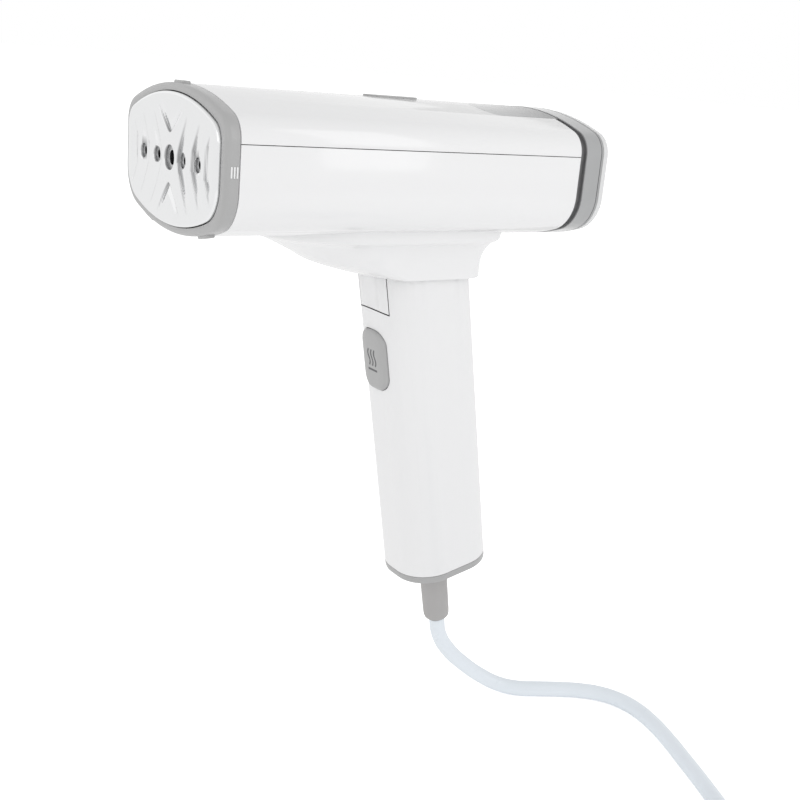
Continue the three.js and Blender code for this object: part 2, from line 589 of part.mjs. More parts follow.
function hingeFrame() {
  const floor = PIVOT.z - APRON_R - 1;
  const block = cut(alongZ(handleSection(HANDLE.wall + GAP), floor - 4, 20), above(SLEEVE_TOP - 1));
  const slot = box(-KNUCKLE_HALF - GAP, KNUCKLE_HALF + GAP, -40, 40, floor, 40);
  const wings = box(-APRON_HALF - GAP, APRON_HALF + GAP, -40, PIVOT.y + EAR_R + 0.3, floor, 40);
  const under = box(-APRON_HALF - GAP, APRON_HALF + GAP,
    -40, PIVOT.y + APRON_R - 0.6, floor, PIVOT.z - EAR_R + 0.2);
  const ears = [-1, 1].map(side => {
    const [x0, x1] = [KNUCKLE_HALF + GAP, EAR_HALF].map(x => side * x).sort((p, q) => p - q);
    return join(rodX(PIVOT.y, PIVOT.z, x0, x1, EAR_R, 16),
      box(x0, x1, PIVOT.y, PIVOT.y + EAR_R + 2, PIVOT.z - EAR_R + 0.4, PIVOT.z + EAR_R - 0.4));
  });
  const bores = rodX(PIVOT.y, PIVOT.z, -20, 20, BUSH_R + GAP, 16);
  const wires = rodZ(0, 6, floor - 20, 0, 7);
  return piece('hinge_frame', cut(join(cut(block, slot, wings, under), ...ears), bores, wires), GREY);
}

const hingePin = () => piece('hinge_pin',
  rodX(PIVOT.y, PIVOT.z, -EAR_HALF + 0.2, EAR_HALF - 0.2, PIN_R), STEEL);

function hingeBush(side, name) {
  const [x0, x1] = [KNUCKLE_HALF + GAP, EAR_HALF - 0.2].map(x => side * x).sort((p, q) => p - q);
  const ring = cut(rodX(PIVOT.y, PIVOT.z, x0, x1, BUSH_R),
    rodX(PIVOT.y, PIVOT.z, -30, 30, PIN_R + GAP));
  return piece(name, ring, BRASS);
}

// ---------------------------------------------------------------- handle
function handleSleeve() {
  const wall = cut(alongZ(handleSection(), SLEEVE_BOTTOM, 20),
    alongZ(handleSection(HANDLE.wall), -200, 40), above(SLEEVE_TOP));
  const notch = common(box(-APRON_HALF - GAP, APRON_HALF + GAP, -40, -10, -30, 40),
    join(rodX(PIVOT.y, PIVOT.z, -20, 20, APRON_R + RUN, 36), box(-20, 20, -40, -10, PIVOT.z, 40)));
  const mouth = alongY(
    roundRect(TRIGGER.wide + 2 * GAP, TRIGGER.long + 2 * GAP, TRIGGER.corner + GAP, 0, TRIGGER.z),
    -40, -10);
  return piece('handle_sleeve', cut(wall, notch, mouth), WHITE);
}

function triggerButton() {
  const pill = alongY(roundRect(TRIGGER.wide, TRIGGER.long, TRIGGER.corner, 0, TRIGGER.z), -40, -19);
  const cap = common(pill, alongZ(handleSection(-TRIGGER.proud), -80, 0));
  const inner = -HANDLE.deep + HANDLE.wall + RUN;
  const flange = common(
    alongY(roundRect(TRIGGER.wide + 3.4, TRIGGER.long + 3.4, TRIGGER.corner + 1.7, 0, TRIGGER.z),
      inner, inner + 2.6),
    alongZ(handleSection(HANDLE.wall + RUN), -80, 0));
  const stem = box(-3, 3, inner + 1, -14, SWITCH_Z - 3, SWITCH_Z + 3);
  return piece('trigger_button', join(cap, flange, stem), GREY);
}

const switchPlunger = () => piece('switch_plunger',
  rodY(0, SWITCH_Z, -14 + GAP, -9.9, 1.4, 1.4, 12), BLACK);

function microSwitch() {
  const body = box(-3.2, 3.2, -10.4, -2.8, SWITCH_Z - 10, SWITCH_Z + 6);
  return piece('micro_switch', cut(body, rodY(0, SWITCH_Z, -12, -6, 1.4 + GAP, 1.4 + GAP, 12)), BLACK);
}

function triggerSpring() {
  const front = -HANDLE.deep + HANDLE.wall + RUN + 2.6 + GAP;
  const coil = spring(-2.4 - front, 3, 0.45, 5, 40).rotate([-90, 0, 0]);
  return piece('trigger_spring', coil.translate([0, front, SPRING_Z]), STEEL);
}

function handleChassis() {
  const web = box(-15, 15, -2, 0, SLEEVE_BOTTOM + 5.2, -26);
  const foot = box(-15, 15, -9, 8, SLEEVE_BOTTOM + 4.8, SLEEVE_BOTTOM + 11.2);
  const slots = [-1, 1].map(side =>
    smallRod(side * CAP_SCREW_X, 0, SLEEVE_BOTTOM - 7, SLEEVE_BOTTOM + 17.2, SCREW_R + GAP));
  const passage = rodZ(0, RELIEF_Y, SLEEVE_BOTTOM - 7, SLEEVE_BOTTOM + 13, 5.5);
  return piece('handle_chassis', cut(join(web, foot), ...slots, passage), BLACK);
}

const controlBoard = () => piece('control_board',
  box(-BOARD.half, BOARD.half, GAP, GAP + BOARD.thick, BOARD.bottom, BOARD.top), BOARD_GREEN);

const capacitor = () => piece('suppression_capacitor',
  box(-9, 9, 2 * GAP + BOARD.thick, 11, -84, -68), SILICONE);

const pumpRelay = () => piece('pump_driver', box(-7, 7, 2 * GAP + BOARD.thick, 13, -112, -94), BLACK);

function cordClamp() {
  const block = box(-11, 11, -9, -2 - GAP, BOARD.bottom, BOARD.bottom + 8);
  const hole = smallRod(0, -6, BOARD.bottom - 6, BOARD.bottom + 14, 2.2);
  return piece('cord_clamp', cut(block, hole), BLACK);
}

function handleBottomCap() {
  const top = SLEEVE_BOTTOM - GAP;
  const bottom = top - CAP_THICK;
  const disc = join(alongZ(handleSection(), bottom + 1, top), alongZ(handleSection(1), bottom, top));
  const lip = cut(alongZ(handleSection(HANDLE.wall + GAP), top - 0.5, top + 4.4),
    alongZ(handleSection(4.4), top, top + 5));
  const hole = rodZ(0, RELIEF_Y, bottom - 10, SLEEVE_BOTTOM + 13, RELIEF_R - 1.4 + GAP);
  const seats = [-1, 1].map(side =>
    smallRod(side * CAP_SCREW_X, 0, bottom - 10, bottom + 1.8, SCREW_HEAD_R + GAP));
  const pilots = [-1, 1].map(side =>
    smallRod(side * CAP_SCREW_X, 0, bottom - 10, SLEEVE_BOTTOM + 13, SCREW_R + GAP));
  return piece('handle_bottom_cap', cut(join(disc, lip), hole, ...seats, ...pilots), GREY);
}

function capScrew(side, name) {
  const seat = SLEEVE_BOTTOM - GAP - CAP_THICK + 1.8 - GAP;
  const head = smallRod(side * CAP_SCREW_X, 0, seat - 1.4, seat, SCREW_HEAD_R);
  const shank = smallRod(side * CAP_SCREW_X, 0, seat - 1, SLEEVE_BOTTOM + 15.2, SCREW_R);
  return piece(name, join(head, shank), STEEL);
}

function strainRelief() {
  const capBottom = SLEEVE_BOTTOM - GAP - CAP_THICK;
  const end = RELIEF_END;
  const profile = [
    [0, end], [RELIEF_R - 2.2, end], [RELIEF_R - 0.9, end + 1.3], [RELIEF_R - 0.4, end + 4],
    [RELIEF_R, capBottom - GAP], [RELIEF_R - 1.4, capBottom - GAP],
    [RELIEF_R - 1.4, SLEEVE_BOTTOM + GAP], [RELIEF_R + 0.8, SLEEVE_BOTTOM + GAP],
    [RELIEF_R + 0.8, SLEEVE_BOTTOM + 2.2], [0, SLEEVE_BOTTOM + 2.2],
  ];
  const lathe = new THREE.LatheGeometry(profile.map(([x, y]) => new THREE.Vector2(x, y)), 20);
  return piece('strain_relief', solidOf(lathe.rotateX(Math.PI / 2)).translate([0, RELIEF_Y, 0]), GREY);
}

// ---------------------------------------------------------------- cord
// Route below the handle, chosen by hand: down from the strain relief, then along the surface
const CORD_POINTS = [
  [0, 148.7, -222.2], [0, 151.2, -232], [0, 158.5, -243], [2, 167.5, -252], [5.5, 177, -259.5],
  [10.5, 185.5, -264.2], [16, 194, CORD_Z], [21.5, 203.5, CORD_Z], [27, 213.5, CORD_Z],
  [33, 223, CORD_Z], [40.5, 231, CORD_Z], [49.5, 235.8, CORD_Z], [60, 237.5, CORD_Z],
  [72, 236.2, CORD_Z], [86, 232.4, CORD_Z], [101, 227, CORD_Z], [117, 221, CORD_Z],
  [133, 214.6, CORD_Z], [148, 208.4, CORD_Z], [160, 203.5, CORD_Z], [172.9, 198.2, CORD_Z],
];

const powerCord = () => piece('power_cord', tube(CORD_POINTS, CORD_R, 20, 10), CORD_WHITE);

const COIL_LOW = CORD_Z - CORD_R + TIE_THICK + GAP;

function cordCoil() {
  const section = arc(0, 0, 1, 0, 2 * Math.PI, 12).map(([x, y]) => new THREE.Vector2(
    COIL.radius + COIL.wide / 2 * Math.sign(x) * Math.abs(x) ** 0.6,
    COIL.tall / 2 * Math.sign(y) * Math.abs(y) ** 0.6));
  section[section.length - 1] = section[0].clone();
  const ring = solidOf(new THREE.LatheGeometry(section, 30).rotateX(Math.PI / 2));
  return piece('cord_coil', ring.translate([COIL.x, COIL.y, COIL_LOW + COIL.tall / 2]), CORD_WHITE);
}

function coilTie() {
  const [wide, tall] = [COIL.wide + 4 * GAP, COIL.tall + 2 * GAP];
  const band = cut(alongY(roundRect(wide + 2 * TIE_THICK, tall + 2 * TIE_THICK, 4), -4, 4),
    alongY(roundRect(wide, tall, 3), -5, 5));
  const place = [COIL.x - COIL.radius, COIL.y, COIL_LOW + COIL.tall / 2];
  return piece('coil_tie', band.translate(place), BLACK);
}

// The plug lies on the coil with its pins towards -Y
const onCoil = solid => solid.rotate([0, 0, 180])
  .translate([COIL.x + COIL.radius - 3, COIL.y + 10, COIL_LOW + COIL.tall + GAP + PLUG.tall / 2]);

function plugBody() {
  const neck = rodY(0, 0, 0, 14, CORD_R + 1.4, CORD_R + 2.6);
  const body = alongY(roundRect(PLUG.wide, PLUG.tall, 6), 13, PLUG.long);
  return piece('plug_body', onCoil(join(neck, body)), CORD_WHITE);
}

function plugPin(side, name) {
  const [root, tip] = [PLUG.long + GAP, PLUG.long + PLUG.pinLong];
  const pin = rodY(-side * PLUG.pinPitch / 2, 0, root, tip, PLUG.pinRadius);
  return piece(name, onCoil(pin), STEEL);
}

// ---------------------------------------------------------------- assembly
const head = new THREE.Group();
head.add(
  steamPlate(), frontBezel(), plateGasket(), steamChamber(), heatingElement(), chamberCover(),
  thermostat(), thermalFuse(), heatShield(), barrelUpperShell(), barrelLowerShell(),
  ...screwPlaces.map(shellScrew), pump(), pumpBracket(), steamHose(), feedHose(),
  bayBulkhead(), tankSocket(), latchPin(), tankLatch(), latchSpring(), tankReleaseButton(),
  waterTank(), tankRearCover(), tankNozzle(), nozzleSeal(), tankFillPlug(), hingeTongue(),
);

const handle = new THREE.Group();
handle.position.copy(HANDLE_TOP);
handle.rotation.x = RAKE;
handle.add(
  handleSleeve(), hingeFrame(), hingePin(),
  hingeBush(1, 'hinge_bush_right'), hingeBush(-1, 'hinge_bush_left'),
  triggerButton(), switchPlunger(), microSwitch(), triggerSpring(), handleChassis(),
  controlBoard(), capacitor(), pumpRelay(), cordClamp(), handleBottomCap(),
  capScrew(1, 'cap_screw_right'), capScrew(-1, 'cap_screw_left'), strainRelief(),
);

const cord = new THREE.Group();
cord.add(powerCord(), cordCoil(), coilTie(), plugBody(),
  plugPin(-1, 'plug_pin_left'), plugPin(1, 'plug_pin_right'));

const steamer = new THREE.Group();
const grip = new THREE.Vector3(0, 0, GRIP_Z)
  .applyAxisAngle(new THREE.Vector3(1, 0, 0), RAKE).add(HANDLE_TOP);
steamer.position.copy(grip).negate();
steamer.add(head, handle, cord);

const whole = new THREE.Group();
whole.add(steamer);

export default whole;
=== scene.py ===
"""A handheld garment steamer with a folding handle, dressed for a plain studio picture.

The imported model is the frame: every piece here takes its place from it and rides on its bodies.
Shapes are drawn in millimetres, in the head's frame or in the handle's, and placed in metres.
"""
import json
import logging
import math
from dataclasses import dataclass
from enum import Enum
from typing import Callable, Iterable, Sequence

import bmesh
import bpy
from mathutils import Matrix, Vector


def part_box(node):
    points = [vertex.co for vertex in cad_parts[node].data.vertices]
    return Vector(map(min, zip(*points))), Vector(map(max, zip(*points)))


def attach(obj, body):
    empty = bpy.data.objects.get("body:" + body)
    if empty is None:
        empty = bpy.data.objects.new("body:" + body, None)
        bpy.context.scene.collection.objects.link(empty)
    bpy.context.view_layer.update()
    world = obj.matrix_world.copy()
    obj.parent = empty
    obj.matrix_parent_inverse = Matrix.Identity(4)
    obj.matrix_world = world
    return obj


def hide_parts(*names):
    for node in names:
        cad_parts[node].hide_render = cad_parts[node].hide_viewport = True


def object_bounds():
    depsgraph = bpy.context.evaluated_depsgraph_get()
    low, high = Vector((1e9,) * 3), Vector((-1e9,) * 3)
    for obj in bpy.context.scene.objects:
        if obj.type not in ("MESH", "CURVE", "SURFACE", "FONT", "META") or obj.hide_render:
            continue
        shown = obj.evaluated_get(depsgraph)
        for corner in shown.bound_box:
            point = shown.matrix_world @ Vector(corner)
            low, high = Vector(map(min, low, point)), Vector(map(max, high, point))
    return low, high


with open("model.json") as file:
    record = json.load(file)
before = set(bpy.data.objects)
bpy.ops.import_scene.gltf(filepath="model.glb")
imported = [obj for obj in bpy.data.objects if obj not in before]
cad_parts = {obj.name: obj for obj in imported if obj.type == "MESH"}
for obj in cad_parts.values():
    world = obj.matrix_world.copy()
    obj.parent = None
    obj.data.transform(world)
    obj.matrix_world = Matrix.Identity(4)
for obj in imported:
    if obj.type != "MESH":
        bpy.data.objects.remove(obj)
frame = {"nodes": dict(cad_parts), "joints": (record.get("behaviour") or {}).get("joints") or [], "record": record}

CAD_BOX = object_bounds()
LOG = logging.getLogger("steamer")
MM = 0.001
GAP = 0.3            # between pieces that touch, in millimetres
RUN = 0.5            # between pieces that slide or turn on each other

Point2 = tuple[float, float]
Ring = list[Vector]


class Body(Enum):
    """The bodies that the pieces made here ride on."""

    HANDLE = "handle"
    HEAD = "head"
    TANK = "tank"
    RELEASE = "release"
    TRIGGER = "trigger"


# ---------------------------------------------------------------- finishes
@dataclass(frozen=True)
class Finish:
    """A moulded or turned surface, with grain, mottling and a little unevenness in its gloss.

    Lengths are in metres. The colour is linear, from 0 to 1.
    """

    name: str
    color: tuple[float, float, float]
    roughness: float
    metallic: float = 0.0
    coat: float = 0.0
    specular: float = 0.5
    transmission: float = 0.0
    ior: float = 1.5
    sheen: float = 0.0
    tint: float = 0.03
    gloss_change: float = 0.05
    grain_size: float = 0.0006
    grain_depth: float = 0.00001
    mottle_size: float = 0.02

    def material(self) -> bpy.types.Material:
        """Builds the material once and hands out the same one after that.

        Returns:
            The material with all its nodes.
        """
        found = bpy.data.materials.get(self.name)
        if found:
            return found
        made = bpy.data.materials.new(self.name)
        made.use_nodes = True
        tree = made.node_tree
        shader = tree.nodes["Principled BSDF"]
        shader.inputs["Metallic"].default_value = self.metallic
        shader.inputs["Coat Weight"].default_value = self.coat
        shader.inputs["Coat Roughness"].default_value = 0.06
        shader.inputs["Specular IOR Level"].default_value = self.specular
        shader.inputs["Transmission Weight"].default_value = self.transmission
        shader.inputs["IOR"].default_value = self.ior
        shader.inputs["Sheen Weight"].default_value = self.sheen
        place = tree.nodes.new("ShaderNodeTexCoord").outputs["Object"]
        self.paint(tree, shader, place)
        return made

    def paint(self, tree: bpy.types.NodeTree, shader: bpy.types.Node,
              place: bpy.types.NodeSocket) -> None:
        """Links the colour, the roughness and the relief to the shader.

        Args:
            tree: The material's node tree.
            shader: Its Principled shader.
            place: The socket with the coordinates.
        """
        mottle = noise(tree, place, self.mottle_size, 3.0)
        dark = tuple(c * (1 - 2 * self.tint) for c in self.color)
        tree.links.new(blend(tree, mottle, dark, self.color), shader.inputs["Base Color"])
        gloss = remap(tree, noise(tree, place, self.mottle_size * 0.4, 5.0),
                      max(self.roughness - self.gloss_change, 0.02),
                      self.roughness + self.gloss_change)
        tree.links.new(gloss, shader.inputs["Roughness"])
        grain = noise(tree, place, self.grain_size, 4.0)
        tree.links.new(relief(tree, grain, self.grain_depth), shader.inputs["Normal"])


@dataclass(frozen=True)
class ShadedFinish(Finish):
    """A finish with painted shade: it darkens where the piece's own shade attribute says so, as in a groove."""

    shade_color: tuple[float, float, float] = (0.05, 0.05, 0.05)
    shade_roughness: float = 0.4

    def paint(self, tree: bpy.types.NodeTree, shader: bpy.types.Node,
              place: bpy.types.NodeSocket) -> None:
        """Links the plain finish, then lays the shade over its colour and roughness.

        Args:
            tree: The material's node tree.
            Links the plain finish, then lays the painted shade over its colour and roughness.
            place: The socket with the coordinates.
        """
        super().paint(tree, shader, place)
        shade = tree.nodes.new("ShaderNodeAttribute")
        shade.attribute_name = "shade"
        base = shader.inputs["Base Color"].links[0].from_socket
        tree.links.new(blend(tree, shade.outputs["Fac"], base, self.shade_color),
                       shader.inputs["Base Color"])
        rough = tree.nodes.new("ShaderNodeMix")
        rough.inputs[3].default_value = self.shade_roughness
        tree.links.new(shade.outputs["Fac"], rough.inputs[0])
        tree.links.new(shader.inputs["Roughness"].links[0].from_socket, rough.inputs[2])
        tree.links.new(rough.outputs[0], shader.inputs["Roughness"])


def noise(tree: bpy.types.NodeTree, place: bpy.types.NodeSocket, size: float,
          detail: float) -> bpy.types.NodeSocket:
    """A noise of a given size.

    Args:
        tree: The node tree.
        place: The socket with the coordinates.
        size: The size of one spot, in metres.
        detail: How many finer layers it has.

    Returns:
        The socket with the noise, from 0 to 1.
    """
    node = tree.nodes.new("ShaderNodeTexNoise")
    node.inputs["Scale"].default_value = 1 / size
    node.inputs["Detail"].default_value = detail
    tree.links.new(place, node.inputs["Vector"])
    return node.outputs["Fac"]


def remap(tree: bpy.types.NodeTree, value: bpy.types.NodeSocket, low: float,
          high: float) -> bpy.types.NodeSocket:
    """Spreads the middle of a noise between two values.

    Args:
        tree: The node tree.
        value: The socket with the noise.
        low: The result at the noise's low end.
        high: The result at its high end.

    Returns:
        The socket with the result.
    """
    node = tree.nodes.new("ShaderNodeMapRange")
    node.inputs["From Min"].default_value = 0.3
    node.inputs["From Max"].default_value = 0.7
    node.inputs["To Min"].default_value = low
    node.inputs["To Max"].default_value = high
    tree.links.new(value, node.inputs["Value"])
    return node.outputs["Result"]


def blend(tree: bpy.types.NodeTree, share: bpy.types.NodeSocket,
          first: Sequence[float] | bpy.types.NodeSocket,
          second: Sequence[float]) -> bpy.types.NodeSocket:
    """Mixes two colours.

    Args:
        tree: The node tree.
        share: The socket with the second colour's share.
        first: The first colour, or the socket that holds it.
        second: The second colour.

    Returns:
        The socket with the mixed colour.
    """
    node = tree.nodes.new("ShaderNodeMix")
    node.data_type = "RGBA"
    tree.links.new(share, node.inputs[0])
    if isinstance(first, bpy.types.NodeSocket):
        tree.links.new(first, node.inputs[6])
    else:
        node.inputs[6].default_value = (*first, 1)
    node.inputs[7].default_value = (*second, 1)
    return node.outputs[2]


def relief(tree: bpy.types.NodeTree, height: bpy.types.NodeSocket,
           depth: float) -> bpy.types.NodeSocket:
    """Turns a height into a bump.

    Args:
        tree: The node tree.
        height: The socket with the height, from 0 to 1.
        depth: What a height of 1 stands for, in metres.

    Returns:
        The socket with the normal.
    """
    node = tree.nodes.new("ShaderNodeBump")
    node.inputs["Distance"].default_value = depth
    node.inputs["Strength"].default_value = 1.0
    tree.links.new(height, node.inputs["Height"])
    return node.outputs["Normal"]


WHITE = Finish("gloss_white_plastic", (0.86, 0.86, 0.865), 0.16, coat=0.35, tint=0.006,
               gloss_change=0.03, grain_size=0.004, grain_depth=0.000006)
HANDLE_WHITE = Finish("satin_white_plastic", (0.84, 0.84, 0.845), 0.3, coat=0.1, tint=0.004,
                      gloss_change=0.015, grain_size=0.0009, grain_depth=0.000004)
GREY = Finish("satin_grey_plastic", (0.425, 0.425, 0.425), 0.34, coat=0.15, tint=0.02,
              grain_size=0.0005, grain_depth=0.00001)
RELIEF_GREY = Finish("soft_grey_rubber", (0.43, 0.42, 0.416), 0.55, tint=0.03,
                     grain_size=0.0004, grain_depth=0.000018)
# The plate's shade colour is painted shade, laid in its holes and at the feet of its steps.
PLATE_METAL = ShadedFinish("polished_plate_metal", (0.9, 0.905, 0.91), 0.1, metallic=1.0,
                           tint=0.008, gloss_change=0.03, grain_size=0.0003,
                           grain_depth=0.0000012, shade_color=(0.09, 0.09, 0.095),
                           shade_roughness=0.35)
# The tank's shade colour is painted shade, laid in the gap ahead of its band and in the groove behind it.
SMOKE = ShadedFinish("smoky_clear_plastic", (0.53, 0.535, 0.54), 0.1, transmission=0.25,
                     ior=1.49, coat=0.3, tint=0.02, gloss_change=0.03, grain_size=0.003,
                     grain_depth=0.000004, shade_color=(0.16, 0.16, 0.165), shade_roughness=0.3)
CLEAR = ShadedFinish("frosted_clear_plastic", (0.95, 0.953, 0.957), 0.12, transmission=0.25,
                     ior=1.49, coat=0.3, tint=0.01, gloss_change=0.03, grain_size=0.003,
                     grain_depth=0.000004, shade_color=(0.45, 0.45, 0.455), shade_roughness=0.2)
ALUMINIUM = Finish("cast_aluminium", (0.62, 0.63, 0.64), 0.48, metallic=1.0, tint=0.08,
                   grain_size=0.0009, grain_depth=0.00006)
STEEL = Finish("drawn_steel", (0.56, 0.57, 0.58), 0.3, metallic=1.0, tint=0.05,
               gloss_change=0.08, grain_size=0.0003, grain_depth=0.000008)
BRASS = Finish("turned_brass", (0.72, 0.53, 0.22), 0.3, metallic=1.0, tint=0.06,
               grain_size=0.0003, grain_depth=0.000008)
SILICONE = Finish("grey_silicone", (0.35, 0.36, 0.37), 0.62, tint=0.04, grain_size=0.0005,
                  grain_depth=0.00001)
BLACK = Finish("black_moulding", (0.03, 0.031, 0.033), 0.45, tint=0.1, grain_size=0.0005,
               grain_depth=0.00002)
BOARD = Finish("green_circuit_board", (0.03, 0.16, 0.07), 0.4, coat=0.4, tint=0.15,
               mottle_size=0.004, grain_size=0.0004, grain_depth=0.00001)
SHEATH = Finish("white_cord_sheath", (0.8, 0.85, 0.9), 0.32, coat=0.1, sheen=0.05, tint=0.015,
                grain_size=0.0009, grain_depth=0.000012)
TIE = Finish("dark_tie_strap", (0.06, 0.062, 0.066), 0.75, sheen=0.3, tint=0.2,
             grain_size=0.0004, grain_depth=0.00005)
SYMBOL = Finish("printed_symbol", (0.13, 0.13, 0.135), 0.45, tint=0.03)

SLOT_FINISHES: dict[str, Finish] = {
    "plate_metal": PLATE_METAL, "grey_plastic": GREY, "white_plastic": WHITE,
    "smoke_plastic": SMOKE, "clear_plastic": CLEAR, "cast_aluminium": ALUMINIUM,
    "steel": STEEL, "silicone": SILICONE, "black_plastic": BLACK, "circuit_board": BOARD,
    "brass": BRASS, "cord_sheath": SHEATH,
}


# ---------------------------------------------------------------- outlines
def arc(cx: float, cy: float, radius: float, start: float, end: float,
        steps: int) -> list[Point2]:
    """Points on a circle.

    Args:
        cx: The centre's first coordinate.
        cy: Its second coordinate.
        radius: The circle's radius.
        start: The first angle, in radians.
        end: The last angle.
        steps: How many steps the arc is cut into.

    Returns:
        The points from the first angle to the last.
    """
    angles = [start + (end - start) * i / steps for i in range(steps + 1)]
    return [(cx + radius * math.cos(a), cy + radius * math.sin(a)) for a in angles]


def round_rect(wide: float, tall: float, radius: float, cx: float = 0.0, cy: float = 0.0,
               steps: int = 12) -> list[Point2]:
    """A rectangle with round corners.

    Args:
        wide: Its width.
        tall: Its height.
        radius: The corners' radius, cut to what fits.
        cx: The middle's first coordinate.
        cy: Its second coordinate.
        steps: Steps in each corner.

    Returns:
        The points, counter-clockwise.
    """
    r = min(radius, wide / 2 - 0.01, tall / 2 - 0.01)
    x, y = wide / 2 - r, tall / 2 - r
    quarter = math.pi / 2
    corners = [(x, y), (-x, y), (-x, -y), (x, -y)]
    return [p for i, (px, py) in enumerate(corners)
            for p in arc(cx + px, cy + py, r, i * quarter, (i + 1) * quarter, steps)]


@dataclass(frozen=True)
class Arch:
    """An outline with flat sides, a crowned top, round shoulders and chines, and a keel."""

    half: float
    top: float
    bottom: float
    crown: float
    keel: float
    shoulder: float
    chine: float

    def points(self, inset: float = 0.0, fine: int = 1) -> list[Point2]:
        """The outline's points.

        Args:
            inset: How far it is drawn in.
            fine: How many times finer than usual its arcs are.

        Returns:
            The points as pairs of X and Z.
        """
        half, top, bottom = self.half - inset, self.top - inset, self.bottom + inset
        crown, keel = self.crown - inset, self.keel - inset
        shoulder = max(self.shoulder - inset, 0.6)
        chine = max(self.chine - inset, 0.6)
        crown_z, keel_z = top - crown, bottom + keel
        shoulder_z = crown_z + math.sqrt((crown - shoulder) ** 2 - (half - shoulder) ** 2)
        chine_z = keel_z - math.sqrt((keel - chine) ** 2 - (half - chine) ** 2)
        rise = math.atan2(shoulder_z - crown_z, half - shoulder)
        fall = math.atan2(chine_z - keel_z, half - chine)
        side = (arc(half - chine, chine_z, chine, fall, 0, 14 * fine)
                + arc(half - shoulder, shoulder_z, shoulder, 0, rise, 12 * fine))
        over = arc(0, crown_z, crown, rise, math.pi - rise, 28 * fine)[1:-1]
        under = arc(0, keel_z, keel, -math.pi - fall, fall, 28 * fine)[1:-1]
        return side + over + [(-x, z) for x, z in reversed(side)] + under


BARREL = Arch(46, 27, -28, 110, 110, 10, 16)
PLATE = Arch(41.2, 23.8, -24.9, 92, 92, 8, 14)
BARREL_FRONT = 6.5
BARREL_REAR = 163.2
SHELL_WALL = 2.4
PARTING_Z = 9.5


